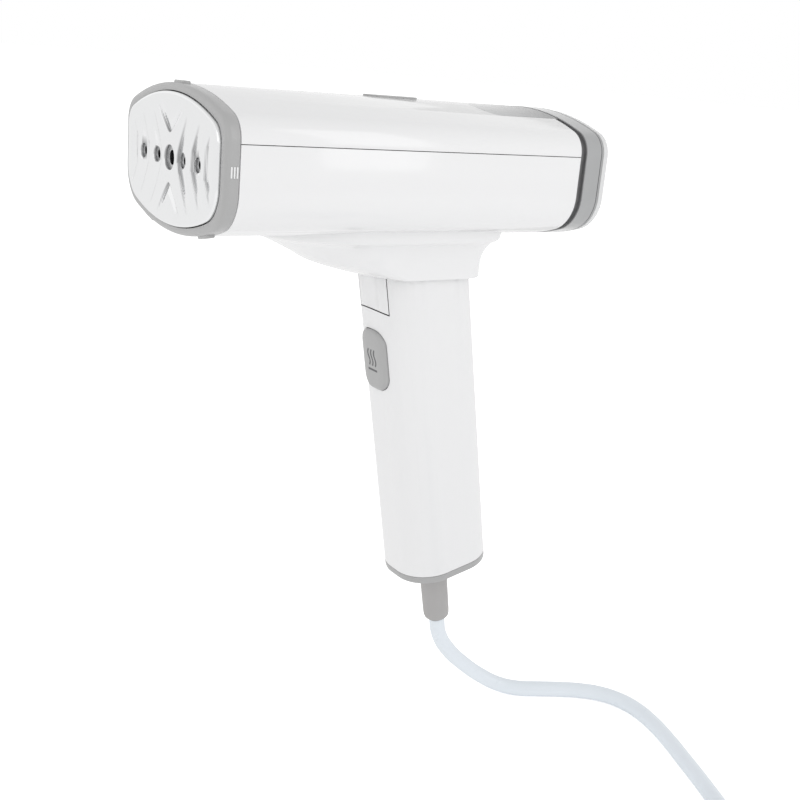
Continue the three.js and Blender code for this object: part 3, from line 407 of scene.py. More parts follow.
# ---------------------------------------------------------------- solids
class Solid:
    """A closed mesh in millimetres that can be joined, cut, rounded and placed."""

    def __init__(self, mesh: bpy.types.Mesh) -> None:
        """Keeps the mesh."""
        self.mesh = mesh

    @classmethod
    def from_rings(cls, rings: Sequence[Sequence[Vector]]) -> "Solid":
        """A skin over rings with equal numbers of points, closed at both ends.

        Args:
            rings: The rings, from the first end to the last.

        Returns:
            The solid.
        """
        work = bmesh.new()
        rows = [[work.verts.new(p) for p in ring] for ring in rings]
        count = len(rows[0])
        for low, high in zip(rows, rows[1:]):
            for i in range(count):
                j = (i + 1) % count
                work.faces.new((low[i], low[j], high[j], high[i]))
        work.faces.new(list(reversed(rows[0])))
        work.faces.new(rows[-1])
        bmesh.ops.recalc_face_normals(work, faces=work.faces)
        return cls.from_bmesh(work)

    @classmethod
    def from_bmesh(cls, work: bmesh.types.BMesh) -> "Solid":
        """Takes over a finished bmesh and frees it."""
        mesh = bpy.data.meshes.new("work")
        work.to_mesh(mesh)
        work.free()
        return cls(mesh)

    @classmethod
    def along_y(cls, outline: Iterable[Point2], y0: float, y1: float) -> "Solid":
        """A prism of an outline in X and Z, from y0 to y1."""
        points = dedupe(outline)
        return cls.from_rings([[Vector((x, y, z)) for x, z in points] for y in (y0, y1)])

    @classmethod
    def along_z(cls, outline: Iterable[Point2], z0: float, z1: float) -> "Solid":
        """A prism of an outline in X and Y, from z0 to z1."""
        points = dedupe(outline)
        return cls.from_rings([[Vector((x, y, z)) for x, y in points] for z in (z0, z1)])

    @classmethod
    def along_x(cls, outline: Iterable[Point2], x0: float, x1: float) -> "Solid":
        """A prism of an outline in Y and Z, from x0 to x1."""
        points = dedupe(outline)
        return cls.from_rings([[Vector((x, y, z)) for y, z in points] for x in (x0, x1)])

    @classmethod
    def block(cls, x: Point2, y: Point2, z: Point2) -> "Solid":
        """A box between two values on each axis."""
        return cls.along_z([(x[0], y[0]), (x[1], y[0]), (x[1], y[1]), (x[0], y[1])], *z)

    @classmethod
    def turned(cls, profile: Sequence[Point2], sides: int = 64) -> "Solid":
        """A round solid about Z.

        Args:
            profile: Pairs of radius and height, with a radius above 0.
            sides: How many sides a turn has.

        Returns:
            The solid.
        """
        return cls.from_rings([
            [Vector((r * math.cos(a), r * math.sin(a), z))
             for a in (2 * math.pi * i / sides for i in range(sides))] for r, z in profile])

    def moved(self, matrix: Matrix) -> "Solid":
        """The same solid after a turn or a shift."""
        copy = self.mesh.copy()
        copy.transform(matrix)
        return Solid(copy)

    def _boolean(self, other: "Solid", operation: str) -> "Solid":
        """Applies one boolean and drops the meshes it used."""
        objects = [bpy.data.objects.new("work", s.mesh) for s in (self, other)]
        for o in objects:
            bpy.context.scene.collection.objects.link(o)
        modifier = objects[0].modifiers.new("boolean", "BOOLEAN")
        modifier.operation = operation
        modifier.solver = "MANIFOLD"
        modifier.object = objects[1]
        mesh = bpy.data.meshes.new_from_object(
            objects[0].evaluated_get(bpy.context.evaluated_depsgraph_get()))
        for o in objects:
            bpy.data.objects.remove(o)
        return Solid(mesh)

    def cut(self, *others: "Solid") -> "Solid":
        """What is left once the others are taken away."""
        left = self
        for other in others:
            left = left._boolean(other, "DIFFERENCE")
        return left

    def join(self, *others: "Solid") -> "Solid":
        """This solid and the others as one."""
        whole = self
        for other in others:
            whole = whole._boolean(other, "UNION")
        return whole

    def common(self, other: "Solid") -> "Solid":
        """What this solid and another share."""
        return self._boolean(other, "INTERSECT")

    def rounded(self, width: float = 0.25, angle: float = 40.0, segments: int = 2) -> "Solid":
        """The same solid with its sharp edges taken off.

        Args:
            width: The width of the rounding.
            angle: Edges that turn by more than this many degrees are rounded.
            segments: How many steps the rounding has.

        Returns:
            The rounded solid.
        """
        work = bmesh.new()
        work.from_mesh(self.mesh)
        bmesh.ops.remove_doubles(work, verts=work.verts, dist=0.004)
        bmesh.ops.dissolve_degenerate(work, edges=work.edges, dist=0.004)
        work.to_mesh(self.mesh)
        work.free()
        holder = bpy.data.objects.new("work", self.mesh)
        bpy.context.scene.collection.objects.link(holder)
        bevel = holder.modifiers.new("bevel", "BEVEL")
        bevel.width = width
        bevel.segments = segments
        bevel.limit_method = "ANGLE"
        bevel.angle_limit = math.radians(angle)
        mesh = bpy.data.meshes.new_from_object(
            holder.evaluated_get(bpy.context.evaluated_depsgraph_get()))
        bpy.data.objects.remove(holder)
        return Solid(mesh)

    def shade(self, rule: Callable[[Vector], float]) -> "Solid":
        """Writes the shade attribute.

        Args:
            rule: Gives the shade, from 0 to 1, of a point in millimetres.

        Returns:
            This solid.
        """
        layer = self.mesh.attributes.new("shade", "FLOAT", "POINT")
        for vertex, value in zip(self.mesh.vertices, layer.data):
            value.value = rule(vertex.co)
        return self


def dedupe(outline: Iterable[Point2]) -> list[Point2]:
    """The outline without points that repeat the one before."""
    kept: list[Point2] = []
    for point in outline:
        if not kept or math.dist(point, kept[-1]) > 1e-4:
            kept.append(point)
    if math.dist(kept[0], kept[-1]) < 1e-4:
        kept.pop()
    return kept


def circle(cx: float, cy: float, radius: float, steps: int = 48) -> list[Point2]:
    """A full circle's points."""
    return arc(cx, cy, radius, 0, 2 * math.pi, steps)


def smooth(value: float) -> float:
    """A soft step from 0 to 1."""
    held = min(max(value, 0.0), 1.0)
    return held * held * (3 - 2 * held)


# ---------------------------------------------------------------- places
def joint(name: str) -> dict:
    """The frame's joint of that name."""
    return next(j for j in frame["joints"] if j["name"] == name)


PLATE_LOW, PLATE_HIGH = (Vector(corner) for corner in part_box("steam_plate"))
HEAD_ORIGIN = Vector((0, PLATE_LOW.y, PLATE_HIGH.z - PLATE.top * MM))
HEAD = Matrix.Translation(HEAD_ORIGIN) @ Matrix.Scale(MM, 4)
PRESS = joint("trigger_press")["axis"]
RAKE = math.atan2(PRESS[2], PRESS[1])
GRIP_DROP = 75       # from the top of the handle's axis to the middle of the grip
HANDLE = (Matrix.Rotation(RAKE, 4, "X") @ Matrix.Scale(MM, 4)
          @ Matrix.Translation((0, 0, GRIP_DROP)))


@dataclass(frozen=True)
class Piece:
    """What a finished piece is called, what it rides on and what it stands for."""

    name: str
    body: Body
    slot: str
    stands_for: tuple[str, ...]
    finish: Finish

    def make(self, solid: Solid, place: Matrix, sharp: float = 32.0) -> bpy.types.Object:
        """Places a solid as this piece.

        Args:
            solid: The solid, in millimetres.
            place: From its millimetres to the row's metres.
            sharp: Edges that turn by more than this many degrees stay sharp.

        Returns:
            The piece.
        """
        solid.mesh.transform(place)
        return self.adopt(solid.mesh, sharp)

    def adopt(self, mesh: bpy.types.Mesh, sharp: float = 32.0) -> bpy.types.Object:
        """Turns a mesh that is already in place into this piece.

        Args:
            mesh: The mesh, in metres.
            sharp: Edges that turn by more than this many degrees stay sharp.

        Returns:
            The piece.
        """
        mesh.name = self.name
        mesh.materials.clear()
        mesh.materials.append(self.finish.material())
        mesh.shade_smooth()
        mesh.set_sharp_from_angle(angle=math.radians(sharp))
        made = bpy.data.objects.new(self.name, mesh)
        bpy.context.scene.collection.objects.link(made)
        return self.declare(made)

    def declare(self, made: bpy.types.Object) -> bpy.types.Object:
        """Hangs the piece on its body, hides the frame's parts that it stands for, and logs it."""
        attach(made, self.body.value)
        if self.stands_for:
            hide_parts(*self.stands_for)
        LOG.info("%s rides on %s", self.name, self.body.value)
        return made


# ---------------------------------------------------------------- geometry nodes
class RowTree:
    """Geometry Nodes that repeat one object along a line, as one mesh."""

    def __init__(self, name: str) -> None:
        """Builds the tree: a line of points, the object on each, made real and dressed."""
        self.tree = bpy.data.node_groups.new(name, "GeometryNodeTree")
        face = self.tree.interface
        face.new_socket("Geometry", in_out="INPUT", socket_type="NodeSocketGeometry")
        self.item = face.new_socket("Item", in_out="INPUT", socket_type="NodeSocketObject")
        self.count = face.new_socket("Count", in_out="INPUT", socket_type="NodeSocketInt")
        self.start = face.new_socket("Start", in_out="INPUT", socket_type="NodeSocketVector")
        self.pitch = face.new_socket("Pitch", in_out="INPUT", socket_type="NodeSocketVector")
        self.dress = face.new_socket("Finish", in_out="INPUT", socket_type="NodeSocketMaterial")
        face.new_socket("Geometry", in_out="OUTPUT", socket_type="NodeSocketGeometry")
        nodes, links = self.tree.nodes, self.tree.links
        given = nodes.new("NodeGroupInput")
        result = nodes.new("NodeGroupOutput")
        line = nodes.new("GeometryNodeMeshLine")
        item = nodes.new("GeometryNodeObjectInfo")
        scatter = nodes.new("GeometryNodeInstanceOnPoints")
        real = nodes.new("GeometryNodeRealizeInstances")
        dress = nodes.new("GeometryNodeSetMaterial")
        links.new(given.outputs["Item"], item.inputs["Object"])
        links.new(given.outputs["Count"], line.inputs["Count"])
        links.new(given.outputs["Start"], line.inputs["Start Location"])
        links.new(given.outputs["Pitch"], line.inputs["Offset"])
        links.new(line.outputs["Mesh"], scatter.inputs["Points"])
        links.new(item.outputs["Geometry"], scatter.inputs["Instance"])
        links.new(scatter.outputs["Instances"], real.inputs["Geometry"])
        links.new(real.outputs["Geometry"], dress.inputs["Geometry"])
        links.new(given.outputs["Finish"], dress.inputs["Material"])
        links.new(dress.outputs["Geometry"], result.inputs["Geometry"])

    def row(self, solid: Solid, count: int, start: Vector, pitch: Vector,
            finish: Finish) -> bpy.types.Mesh:
        """Repeats a solid along a line.

        Args:
            solid: The solid to repeat, in metres.
            count: How many there are.
            start: Where the first one goes.
            pitch: From one to the next.
            finish: What they are made of.

        Returns:
            The row as one plain mesh.
        """
        item = bpy.data.objects.new("row_item", solid.mesh)
        holder = bpy.data.objects.new("row_holder", bpy.data.meshes.new("row_holder"))
        for o in (item, holder):
            bpy.context.scene.collection.objects.link(o)
        modifier = holder.modifiers.new("row", "NODES")
        modifier.node_group = self.tree
        values = {self.item: item, self.count: count, self.start: list(start),
                  self.pitch: list(pitch), self.dress: finish.material()}
        for socket, value in values.items():
            modifier[socket.identifier] = value
        mesh = bpy.data.meshes.new_from_object(
            holder.evaluated_get(bpy.context.evaluated_depsgraph_get()))
        holder.modifiers.remove(modifier)
        for o in (holder, item):
            bpy.data.objects.remove(o)
        return mesh


def gathered(meshes: Sequence[bpy.types.Mesh]) -> bpy.types.Mesh:
    """Several meshes as one."""
    work = bmesh.new()
    for mesh in meshes:
        work.from_mesh(mesh)
    whole = bpy.data.meshes.new("gathered")
    work.to_mesh(whole)
    work.free()
    return whole


# ---------------------------------------------------------------- cord
@dataclass
class Cord:
    """The mains cord: from the strain relief, along the surface, into a neat coil and a plug.

    Points are in millimetres in the head's frame.
    """

    radius: float = 3.9
    height: float = -266.0
    coil_middle: Point2 = (179.7, 142.5)
    coil_radius: float = 41.0
    steps_a_turn: int = 24
    lay_gap: float = 0.05           # between one lap and the next
    first_angle: float = 67.5       # in degrees, where the coil begins
    laps: float = 5.02
    step_long: float = 0.22         # share of a lap that a step sideways takes
    inward_steps: Point2 = (0.78, 1.78)
    outward_steps: Point2 = (3.28, 4.28)
    climb: Point2 = (2.5, 0.28)     # the lap where the upper layer begins, and its ramp
    last_step: float = 4.8          # where the cord leaves the upper layer, inwards
    last_climb: Point2 = (4.7, 0.27)
    tie_angle: float = 180.0
    tie_reach: float = 40.0         # degrees either side of the tie that lie on it
    tie_ramp: float = 30.0
    tie_room: float = 1.5
    drawn_in: float = 2.95
    plug_rise: float = 12.35
    plug_rear: Point2 = (217.7, 152.8)
    route: tuple[tuple[float, float, float], ...] = (
        (0, 148.7, -222.2), (0, 151.2, -232), (0, 158.5, -243), (2, 167.5, -252),
        (5.5, 177, -259.5), (10.5, 185.5, -264.2), (16, 194, -266), (21.5, 203.5, -266),
        (27, 213.5, -266), (33, 223, -266), (40.5, 231, -266), (49.5, 235.8, -266),
        (60, 237.5, -266), (72, 236.2, -266), (86, 232.4, -266), (101, 227, -266),
        (117, 221, -266), (133, 214.6, -266), (148, 208.4, -266), (160, 203.5, -266),
        (172.9, 198.2, -266))

    def coil(self) -> list[Vector]:
        """The coil's points: inwards below, outwards above, then up and round into the plug.

        Returns:
            The points, in millimetres.
        """
        pitch = 2 * self.radius + self.lay_gap
        count = round(self.laps * self.steps_a_turn)
        points = []
        for i in range(count + 1):
            lap = self.laps * i / count
            inwards = sum(smooth((lap - begin) / self.step_long) for begin in self.inward_steps)
            outwards = sum(smooth((lap - begin) / self.step_long) for begin in self.outward_steps)
            radius = self.coil_radius + pitch * (1 - inwards + outwards)
            radius -= self.drawn_in * smooth((lap - self.last_step) / self.step_long)
            lift = smooth((lap - self.climb[0]) / self.climb[1])
            angle = math.radians(self.first_angle) - 2 * math.pi * lap
            from_tie = abs(math.degrees(angle) % 360 - self.tie_angle)
            rest = self.tie_room * smooth((self.tie_reach - from_tie) / self.tie_ramp)
            rise = self.plug_rise * smooth((lap - self.last_climb[0]) / self.last_climb[1])
            points.append(Vector((
                self.coil_middle[0] + radius * math.cos(angle),
                self.coil_middle[1] + radius * math.sin(angle),
                self.height + (1 - lift) * rest + lift * (pitch + self.tie_room) + rise)))
        return points + self.lead_in(points[-1], math.degrees(angle) % 360)

    def lead_in(self, last: Vector, turned: float) -> list[Vector]:
        """The bend from the coil's last point to the rear of the plug.

        Args:
            last: The coil's last point.
            turned: How many degrees its direction is off -Y.

        Returns:
            The points after it.
        """
        steps, off = 5, math.radians(turned)
        radius = (self.plug_rear[0] - last.x) / (1 - math.cos(off))
        middle = Vector((self.plug_rear[0] - radius, last.y - radius * math.sin(off), last.z))
        bend = [middle + radius * Vector((math.cos(a), math.sin(a), 0))
                for a in (off * (1 - i / steps) for i in range(1, steps + 1))]
        return bend + [Vector((*self.plug_rear, last.z))]

    def line(self) -> list[Vector]:
        """The whole route in the row's metres, from the strain relief to the cord's far end."""
        points = [Vector(p) for p in self.route] + self.coil()
        return [HEAD_ORIGIN + p * MM for p in points]

    def build(self) -> None:
        line = self.line()
        curve = bpy.data.curves.new("power_cord_line", "CURVE")
        curve.dimensions = "3D"
        curve.bevel_depth = self.radius * MM
        curve.bevel_resolution = 5
        curve.use_fill_caps = True
        curve.resolution_u = 4
        spline = curve.splines.new("BEZIER")
        spline.bezier_points.add(len(line) - 1)
        for point, place in zip(spline.bezier_points, line):
            point.co = place
            point.handle_left_type = point.handle_right_type = "AUTO"
        curve.materials.append(SHEATH.material())
        made = bpy.data.objects.new("mains_cord", curve)
        bpy.context.scene.collection.objects.link(made)
        Piece("mains_cord", Body.HANDLE, "cord_sheath", ("power_cord", "cord_coil"),
              SHEATH).declare(made)


@dataclass
class Plug:
    """A plain two-pin plug that lies on the coil, with its pins towards -Y."""

    long: float = 40.0
    wide: float = 26.0
    tall: float = 16.0
    neck: float = 14.0
    neck_wide: float = 13.0
    flare: float = 6.0              # length over which the neck widens into the body
    corner: float = 6.2
    pin_radius: float = 2.4
    pin_long: float = 19.0
    pin_pitch: float = 19.0
    grips: int = 5
    grip_start: float = 22.0
    grip_pitch: float = 2.6

    def place(self) -> Matrix:
        """From the plug's own frame, with its pins towards +Y, to the row's."""
        low, high = (Vector(c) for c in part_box("plug_body"))
        rear = Vector(((low.x + high.x) / 2, high.y, (low.z + high.z) / 2))
        return Matrix.Translation(rear) @ Matrix.Rotation(math.pi, 4, "Z") @ Matrix.Scale(MM, 4)

    def build(self, rows: RowTree) -> None:
        """Makes the plug's body, its finger grips and its pins.

        Args:
            rows: The tree that repeats the grips.
        """
        place = self.place()
        stations = [(0, self.neck_wide / 2 - 1.2), (self.neck - 2, self.neck_wide / 2 - 0.3)]
        rings = [[Vector((x, y, z)) for x, z in round_rect(2 * r, 2 * r, r)] for y, r in stations]
        for i in range(9):
            share = smooth(i / 8)
            wide = self.neck_wide + (self.wide - self.neck_wide) * share
            tall = self.neck_wide + (self.tall - self.neck_wide) * share
            rings.append([Vector((x, self.neck + self.flare * i / 8, z))
                          for x, z in round_rect(wide, tall, self.corner + 0.6 * (1 - share))])
        for y, drawn in ((self.long - 1, 0), (self.long - 0.3, 0.3), (self.long, 1)):
            rings.append([Vector((x, y, z)) for x, z in round_rect(
                self.wide - 2 * drawn, self.tall - 2 * drawn, self.corner)])
        Piece("plug", Body.HANDLE, "cord_sheath", ("plug_body",), SHEATH).make(
            Solid.from_rings(rings), place)
        bar = Solid.block((-0.25, 0.25), (-0.6, 0.6), (-4.2, 4.2)).rounded(0.2)
        bar.mesh.transform(Matrix.Scale(MM, 4))
        start = Vector((self.wide / 2, self.grip_start, 0)) * MM
        step = Vector((0, self.grip_pitch, 0)) * MM
        sides = [rows.row(bar, self.grips, Vector((side * start.x, start.y, 0)), step, SHEATH)
                 for side in (-1, 1)]
        grips = gathered(sides)
        grips.transform(place @ Matrix.Scale(1 / MM, 4))
        Piece("plug_grips", Body.HANDLE, "cord_sheath", (), SHEATH).adopt(grips)
        tip, r = self.long + self.pin_long, self.pin_radius
        profile = [(r, self.long + GAP), (r, tip - 1.6), (r - 0.3, tip - 0.7), (r - 0.9, tip - 0.2),
                   (r - 1.6, tip)]
        lie = Matrix.Rotation(-math.pi / 2, 4, "X")
        pins = [Solid.turned(profile, 32).moved(
            Matrix.Translation((side * self.pin_pitch / 2, 0, 0)) @ lie).mesh for side in (-1, 1)]
        pair = gathered(pins)
        pair.transform(place)
        Piece("plug_pin_pair", Body.HANDLE, "steel", ("plug_pin_left", "plug_pin_right"),
              STEEL).adopt(pair)


# ---------------------------------------------------------------- front of the head
@dataclass
class SteamPlate:
    """The polished plate: leaf-like pressed steps beside the holes, a V above and one below."""

    thick: float = 3.5
    edge: float = 0.8
    rows: int = 150
    depth: float = 0.75
    leaf_roots: tuple[float, ...] = (7.4, 19.1, 29.8)
    leaf_tops: tuple[float, ...] = (15.8, 14.3, 11.0)
    leaf_ends: tuple[float, ...] = (-18.8, -16.2, -13.4)
    leaf_slope: float = 0.626
    leaf_round: float = 4.0
    holes: tuple[float, ...] = (-25, -12, 0, 12, 25)
    main_hole: float = 4.4
    side_hole: float = 2.6

    def steps(self, x: float, z: float) -> tuple[float, float]:
        """How deep the pressed steps are at a point, and how close it is to a step's foot.

        Args:
            x: The point's X.
            z: The point's Z.

        Returns:
            The depth and the closeness, each from 0 to 1.
        """
        depth, close = 0.0, 0.0
        for root, top, end in zip(self.leaf_roots, self.leaf_tops, self.leaf_ends):
            if not end < z < top:
                continue
            middle, reach = (top + end) / 2, (top - end) / 2
            strong = (1 - ((z - middle) / reach) ** 2) ** 0.8
            bend = math.sqrt(z * z + self.leaf_round ** 2) - self.leaf_round
            beyond = abs(x) - root - self.leaf_slope * bend
            depth, close = self.step(beyond, strong, depth, close, 6.0)
        for foot, slope, way in ((9.5, 0.95, 1), (-9.6, 1.25, -1)):
            if abs(x) < 10.5:
                strong = (1 - (x / 10.5) ** 2) ** 0.8
                rise = foot + way * slope * (math.sqrt(x * x + 2.2) - math.sqrt(2.2))
                depth, close = self.step(way * (z - rise), strong, depth, close, 5.0)
        return depth, close

    @staticmethod
    def step(beyond: float, strong: float, depth: float, close: float,
             ramp: float) -> tuple[float, float]:
        """Adds one step, steep on its near side and gently sloped on its far side."""
        if -0.5 < beyond <= 0.15:
            depth = max(depth, strong * smooth((beyond + 0.5) / 0.65))
        elif 0.15 < beyond < ramp:
            depth = max(depth, strong * (1 - smooth((beyond - 0.15) / (ramp - 0.15))))
        return depth, max(close, strong * math.exp(-((beyond + 0.05) / 0.4) ** 2))

    def slab(self) -> Solid:
        """The plate before its holes, with its face towards -Y."""
        rings: list[Ring] = []
        face = PLATE.points(self.edge, 3)
        for i in range(1, self.rows + 1):
            share = i / self.rows
            calm = smooth((1 - share) * 12)
            rings.append([Vector((x * share, self.depth * calm
                                  * self.steps(x * share, z * share)[0], z * share))
                          for x, z in face])
        for i in range(1, 6):
            turn = i / 5 * math.pi / 2
            inset = self.edge * (1 - math.sin(turn))
            rings.append([Vector((x, self.edge * (1 - math.cos(turn)), z))
                          for x, z in PLATE.points(inset, 3)])
        rings.append([Vector((x, self.thick, z)) for x, z in PLATE.points(0, 3)])
        return Solid.from_rings(rings)

    def mouth(self, x: float) -> Solid:
        """The stepped funnel of one hole, to be cut from the plate."""
        r = self.main_hole if x == 0 else self.side_hole
        profile = [(r + 0.7, -1), (r + 0.4, 0), (r + 0.1, 0.25), (r, 0.6), (r - 0.1, 1.2),
                   (r * 0.62, 1.35), (r * 0.6, 1.6), (r * 0.58, self.thick + 1)]
        return Solid.turned(profile, 56).moved(
            Matrix.Translation((x, 0, 0)) @ Matrix.Rotation(-math.pi / 2, 4, "X"))

    def shade(self, place: Vector) -> float:
        """Painted shade in the holes, darkest deep in the bore, and at the feet of the steps."""
        for x in self.holes:
            r = self.main_hole if x == 0 else self.side_hole
            if math.hypot(place.x - x, place.z) < r + 0.5 and place.y > 0.02:
                return 0.62 if place.y < 0.7 else 0.42 if place.y < 1.5 else 0.97
        return 0.8 * self.steps(place.x, place.z)[1] if place.y < 1 else 0.0

    def build(self) -> None:
        """Makes the plate."""
        plate = self.slab().cut(*(self.mouth(x) for x in self.holes)).shade(self.shade)
        Piece("steam_plate_face", Body.HEAD, "plate_metal", ("steam_plate",),
              PLATE_METAL).make(plate, HEAD, 50)


@dataclass
class Bezel:
    """The grey ring around the plate, with a rounded front, three lugs and two sets of ribs."""

    front: float = 1.2
    rear: float = 6.2
    inset: float = 2.1
    round_long: float = 1.8
    lug_wide: float = 8.0
    lug_long: float = 3.4
    lug_high: float = 0.9
    keel_lug_x: float = 25.0
    rib_count: int = 3
    rib_pitch: float = 1.1
    rib_y: float = 3.15             # middle of the ribs
    rib_half: Point2 = (0.65, 0.28)
    rib_tall: float = 3.9
    rib_sunk: float = 0.3

    def ring(self) -> Solid:
        """The ring itself, with a rounded front that stands back from the plate's face."""
        rings: list[Ring] = []
        for i in range(9):
            turn = i / 8 * math.pi / 2
            y = self.front + self.round_long * (1 - math.cos(turn))
            drawn = self.inset * (1 - math.sin(turn)) ** 1.15
            rings.append([Vector((x, y, z)) for x, z in BARREL.points(drawn)])
        rings.append([Vector((x, self.rear, z)) for x, z in BARREL.points()])
        mouth = Solid.along_y(PLATE.points(-GAP), -5, 10)
        return Solid.from_rings(rings).cut(mouth)

    def lug(self, x: float, z: float, tilt: float) -> Solid:
        """One small moulded lug on the ring."""
        half, y0 = self.lug_wide / 2, self.rear - self.lug_long
        block = Solid.block((-half, half), (y0, self.rear), (-2, self.lug_high)).rounded(0.45)
        return block.moved(Matrix.Translation((x, 0, z)) @ Matrix.Rotation(tilt, 4, "Y"))

    def build(self, rows: RowTree) -> None:
        """Makes the ring with its lugs, then the ribs.

        Args:
            rows: The tree that repeats the ribs.
        """
        drop = BARREL.bottom + self.keel_lug_x ** 2 / (2 * BARREL.keel)
        tilt = math.asin(self.keel_lug_x / BARREL.keel)
        ring = self.ring().rounded(0.16, 35)
        lugs = [self.lug(0, BARREL.top - 0.05, 0)] + [
            self.lug(side * self.keel_lug_x, drop, math.pi - side * tilt) for side in (-1, 1)]
        whole = Solid(gathered([ring.mesh, *(lug.mesh for lug in lugs)]))
        Piece("bezel_ring", Body.HEAD, "grey_plastic", ("front_bezel",), GREY).make(whole, HEAD)
        (deep, thin), tall = self.rib_half, self.rib_tall / 2
        rib = Solid.block((-deep, deep), (-thin, thin), (-tall, tall)).rounded(0.12)
        rib.mesh.transform(Matrix.Scale(MM, 4))
        step = Vector((0, self.rib_pitch, 0)) * MM
        sides = [rows.row(rib, self.rib_count, HEAD_ORIGIN + Vector(
            (side * (BARREL.half - self.rib_sunk), self.rib_y, 0)) * MM, step, WHITE) for side in (-1, 1)]
        Piece("bezel_ribs", Body.HEAD, "white_plastic", (), WHITE).adopt(gathered(sides))


# ---------------------------------------------------------------- barrel and neck
@dataclass
class Barrel:
    """The two white shells: the upper with its window and button slot, the lower with the neck."""

    window_half: float = 27.0
    window_front: float = 128.5
    window_corner: float = 6.0
    button_y: float = 96.0
    button_long: float = 25.0
    button_wide: float = 9.0
    button_proud: float = 0.6
    screw_x: float = 38.0
    screw_y: tuple[float, float] = (48.0, 112.0)
    screw_seat: float = -6.0
    screw_skin: float = -14.0       # the underside is closed below this
    post_radius: float = 3.6
    seat_radius: float = 3.1
    pilot_radius: float = 1.8
    rim_z: float = -45.5
    neck_half: float = 22.4
    neck_rear: float = 142.7
    pocket_front: float = 89.4
    roof_z: float = -31.0
    lead_radius: float = 4.0

    def tube(self) -> Solid:
        """Both shells as one tube."""
        outer = Solid.along_y(BARREL.points(), BARREL_FRONT, BARREL_REAR)
        return outer.cut(Solid.along_y(BARREL.points(SHELL_WALL), 0, 200))

    def window(self, grow: float = 0.0) -> list[Point2]:
        """The window's outline in X and Y, open to the rear."""
        return round_rect(2 * (self.window_half + grow), 100, self.window_corner + grow,
                          0, self.window_front + 50 - grow)

    def bosses(self, z0: float, z1: float) -> list[Solid]:
        """The four screw posts between two heights, inside the tube."""
        room = Solid.along_y(BARREL.points(SHELL_WALL / 2), 0, BARREL_REAR)
        return [Solid.along_z(circle(side * self.screw_x, y, self.post_radius, 32), z0, z1).common(room)
                for side in (-1, 1) for y in self.screw_y]

    def upper(self) -> Solid:
        """The upper shell."""
        half = self.tube().common(Solid.block((-60, 60), (-10, 200), (PARTING_Z + 0.15, 60)))
        window = Solid.along_z(self.window(), 15, 40)
        slot = Solid.along_z(round_rect(self.button_wide + 2 * GAP, self.button_long + 2 * GAP, 9,
                                        0, self.button_y), 15, 40)
        return half.join(*self.bosses(PARTING_Z + 0.15, 26)).cut(window, slot)

    def neck_ring(self, z: float, half: float, front: float, nose: float, rear: float,
                  corner: float) -> Ring:
        """The neck's outline at one height: a tapering nose in front, round corners behind."""
        nose_side = [(half * x, front + nose + nose * y)
                     for x, y in arc(0, 0, 1, 0, -math.pi / 2, 28)]
        rear_side = arc(half - corner, rear - corner, corner, math.pi / 2, 0, 16)
        right = dedupe(rear_side + nose_side)
        left = [(-x, y) for x, y in reversed(right[:-1])]
        return [Vector((x, y, z)) for x, y in right + left]

    def neck(self) -> Solid:
        """The neck's body, smooth between its stations."""
        half, rear = self.neck_half, self.neck_rear
        stations = [
            (self.rim_z, half, 87, 12, rear, 16), (-43.7, half + 0.2, 76, 19, rear - 0.3, 16),
            (-40, half + 0.9, 62.5, 27, rear - 0.8, 16), (-36.3, half + 2, 55, 32, rear - 0.6, 17),
            (-33, half + 3.6, 48, 35, rear + 0.4, 18), (-30, half + 6, 41, 37, rear + 2.4, 20),
            (-27.4, half + 9, 33.5, 40, rear + 5.5, 22), (-20, half + 9, 33.5, 40, rear + 5.5, 22)]
        return Solid.from_rings([self.neck_ring(*row) for row in eased(stations, 5)])

    def lower(self) -> Solid:
        """The lower shell with the neck and the pocket for the top of the handle."""
        half = self.tube().common(Solid.block((-60, 60), (-10, 200), (-60, PARTING_Z - 0.15)))
        neck = self.neck().cut(Solid.along_y(BARREL.points(SHELL_WALL), 0, 200))
        rear = self.neck_rear - SHELL_WALL
        pocket = Solid.along_z(round_rect(41.8, rear - self.pocket_front, 15.5, 0,
                                          (self.pocket_front + rear) / 2, 20), -60, self.roof_z)
        lead = Solid.along_z(circle(0, 126, self.lead_radius), -60, 0)
        seats = [Solid.along_z(circle(side * self.screw_x, y, self.seat_radius, 32),
                               self.screw_skin, self.screw_seat)
                 for side in (-1, 1) for y in self.screw_y]
        pilots = [Solid.along_z(circle(side * self.screw_x, y, self.pilot_radius, 24),
                                self.screw_skin + 2, 20)
                  for side in (-1, 1) for y in self.screw_y]
        whole = half.join(neck, *self.bosses(BARREL.bottom, PARTING_Z - 0.15))
        return whole.cut(pocket, lead, *seats, *pilots)

    def button(self) -> Solid:
        """The tank's release button, a little above the crown."""
        pill = Solid.along_z(round_rect(self.button_wide, self.button_long, 9, 0, self.button_y,
                                        20), 22, 40)
        face = pill.common(Solid.along_y(BARREL.points(-self.button_proud), 0, BARREL_REAR))
        flange = Solid.along_z(round_rect(self.button_wide + 3, self.button_long + 3, 6, 0,
                                          self.button_y), 22.5, 23.9)
        stem = Solid.block((-3, 3), (97, 99.5), (18.3, 22.9))
        return face.join(flange, stem)

    def build(self) -> None:
        """Makes the shells and the button."""
        Piece("upper_shell", Body.HEAD, "white_plastic", ("barrel_upper_shell",), WHITE).make(
            self.upper().rounded(0.22), HEAD)
        Piece("lower_shell", Body.HEAD, "white_plastic", ("barrel_lower_shell",), WHITE).make(
            self.lower().rounded(0.35, 50), HEAD)
        # The button is dressed grey, unlike its white slot: grey like the other accents, and darker so that it
        # also stands in for the shade of its gap, a painted shade along the top.
        Piece("release_button", Body.RELEASE, "white_plastic", ("tank_release_button",),
              GREY).make(self.button().rounded(0.2), HEAD)


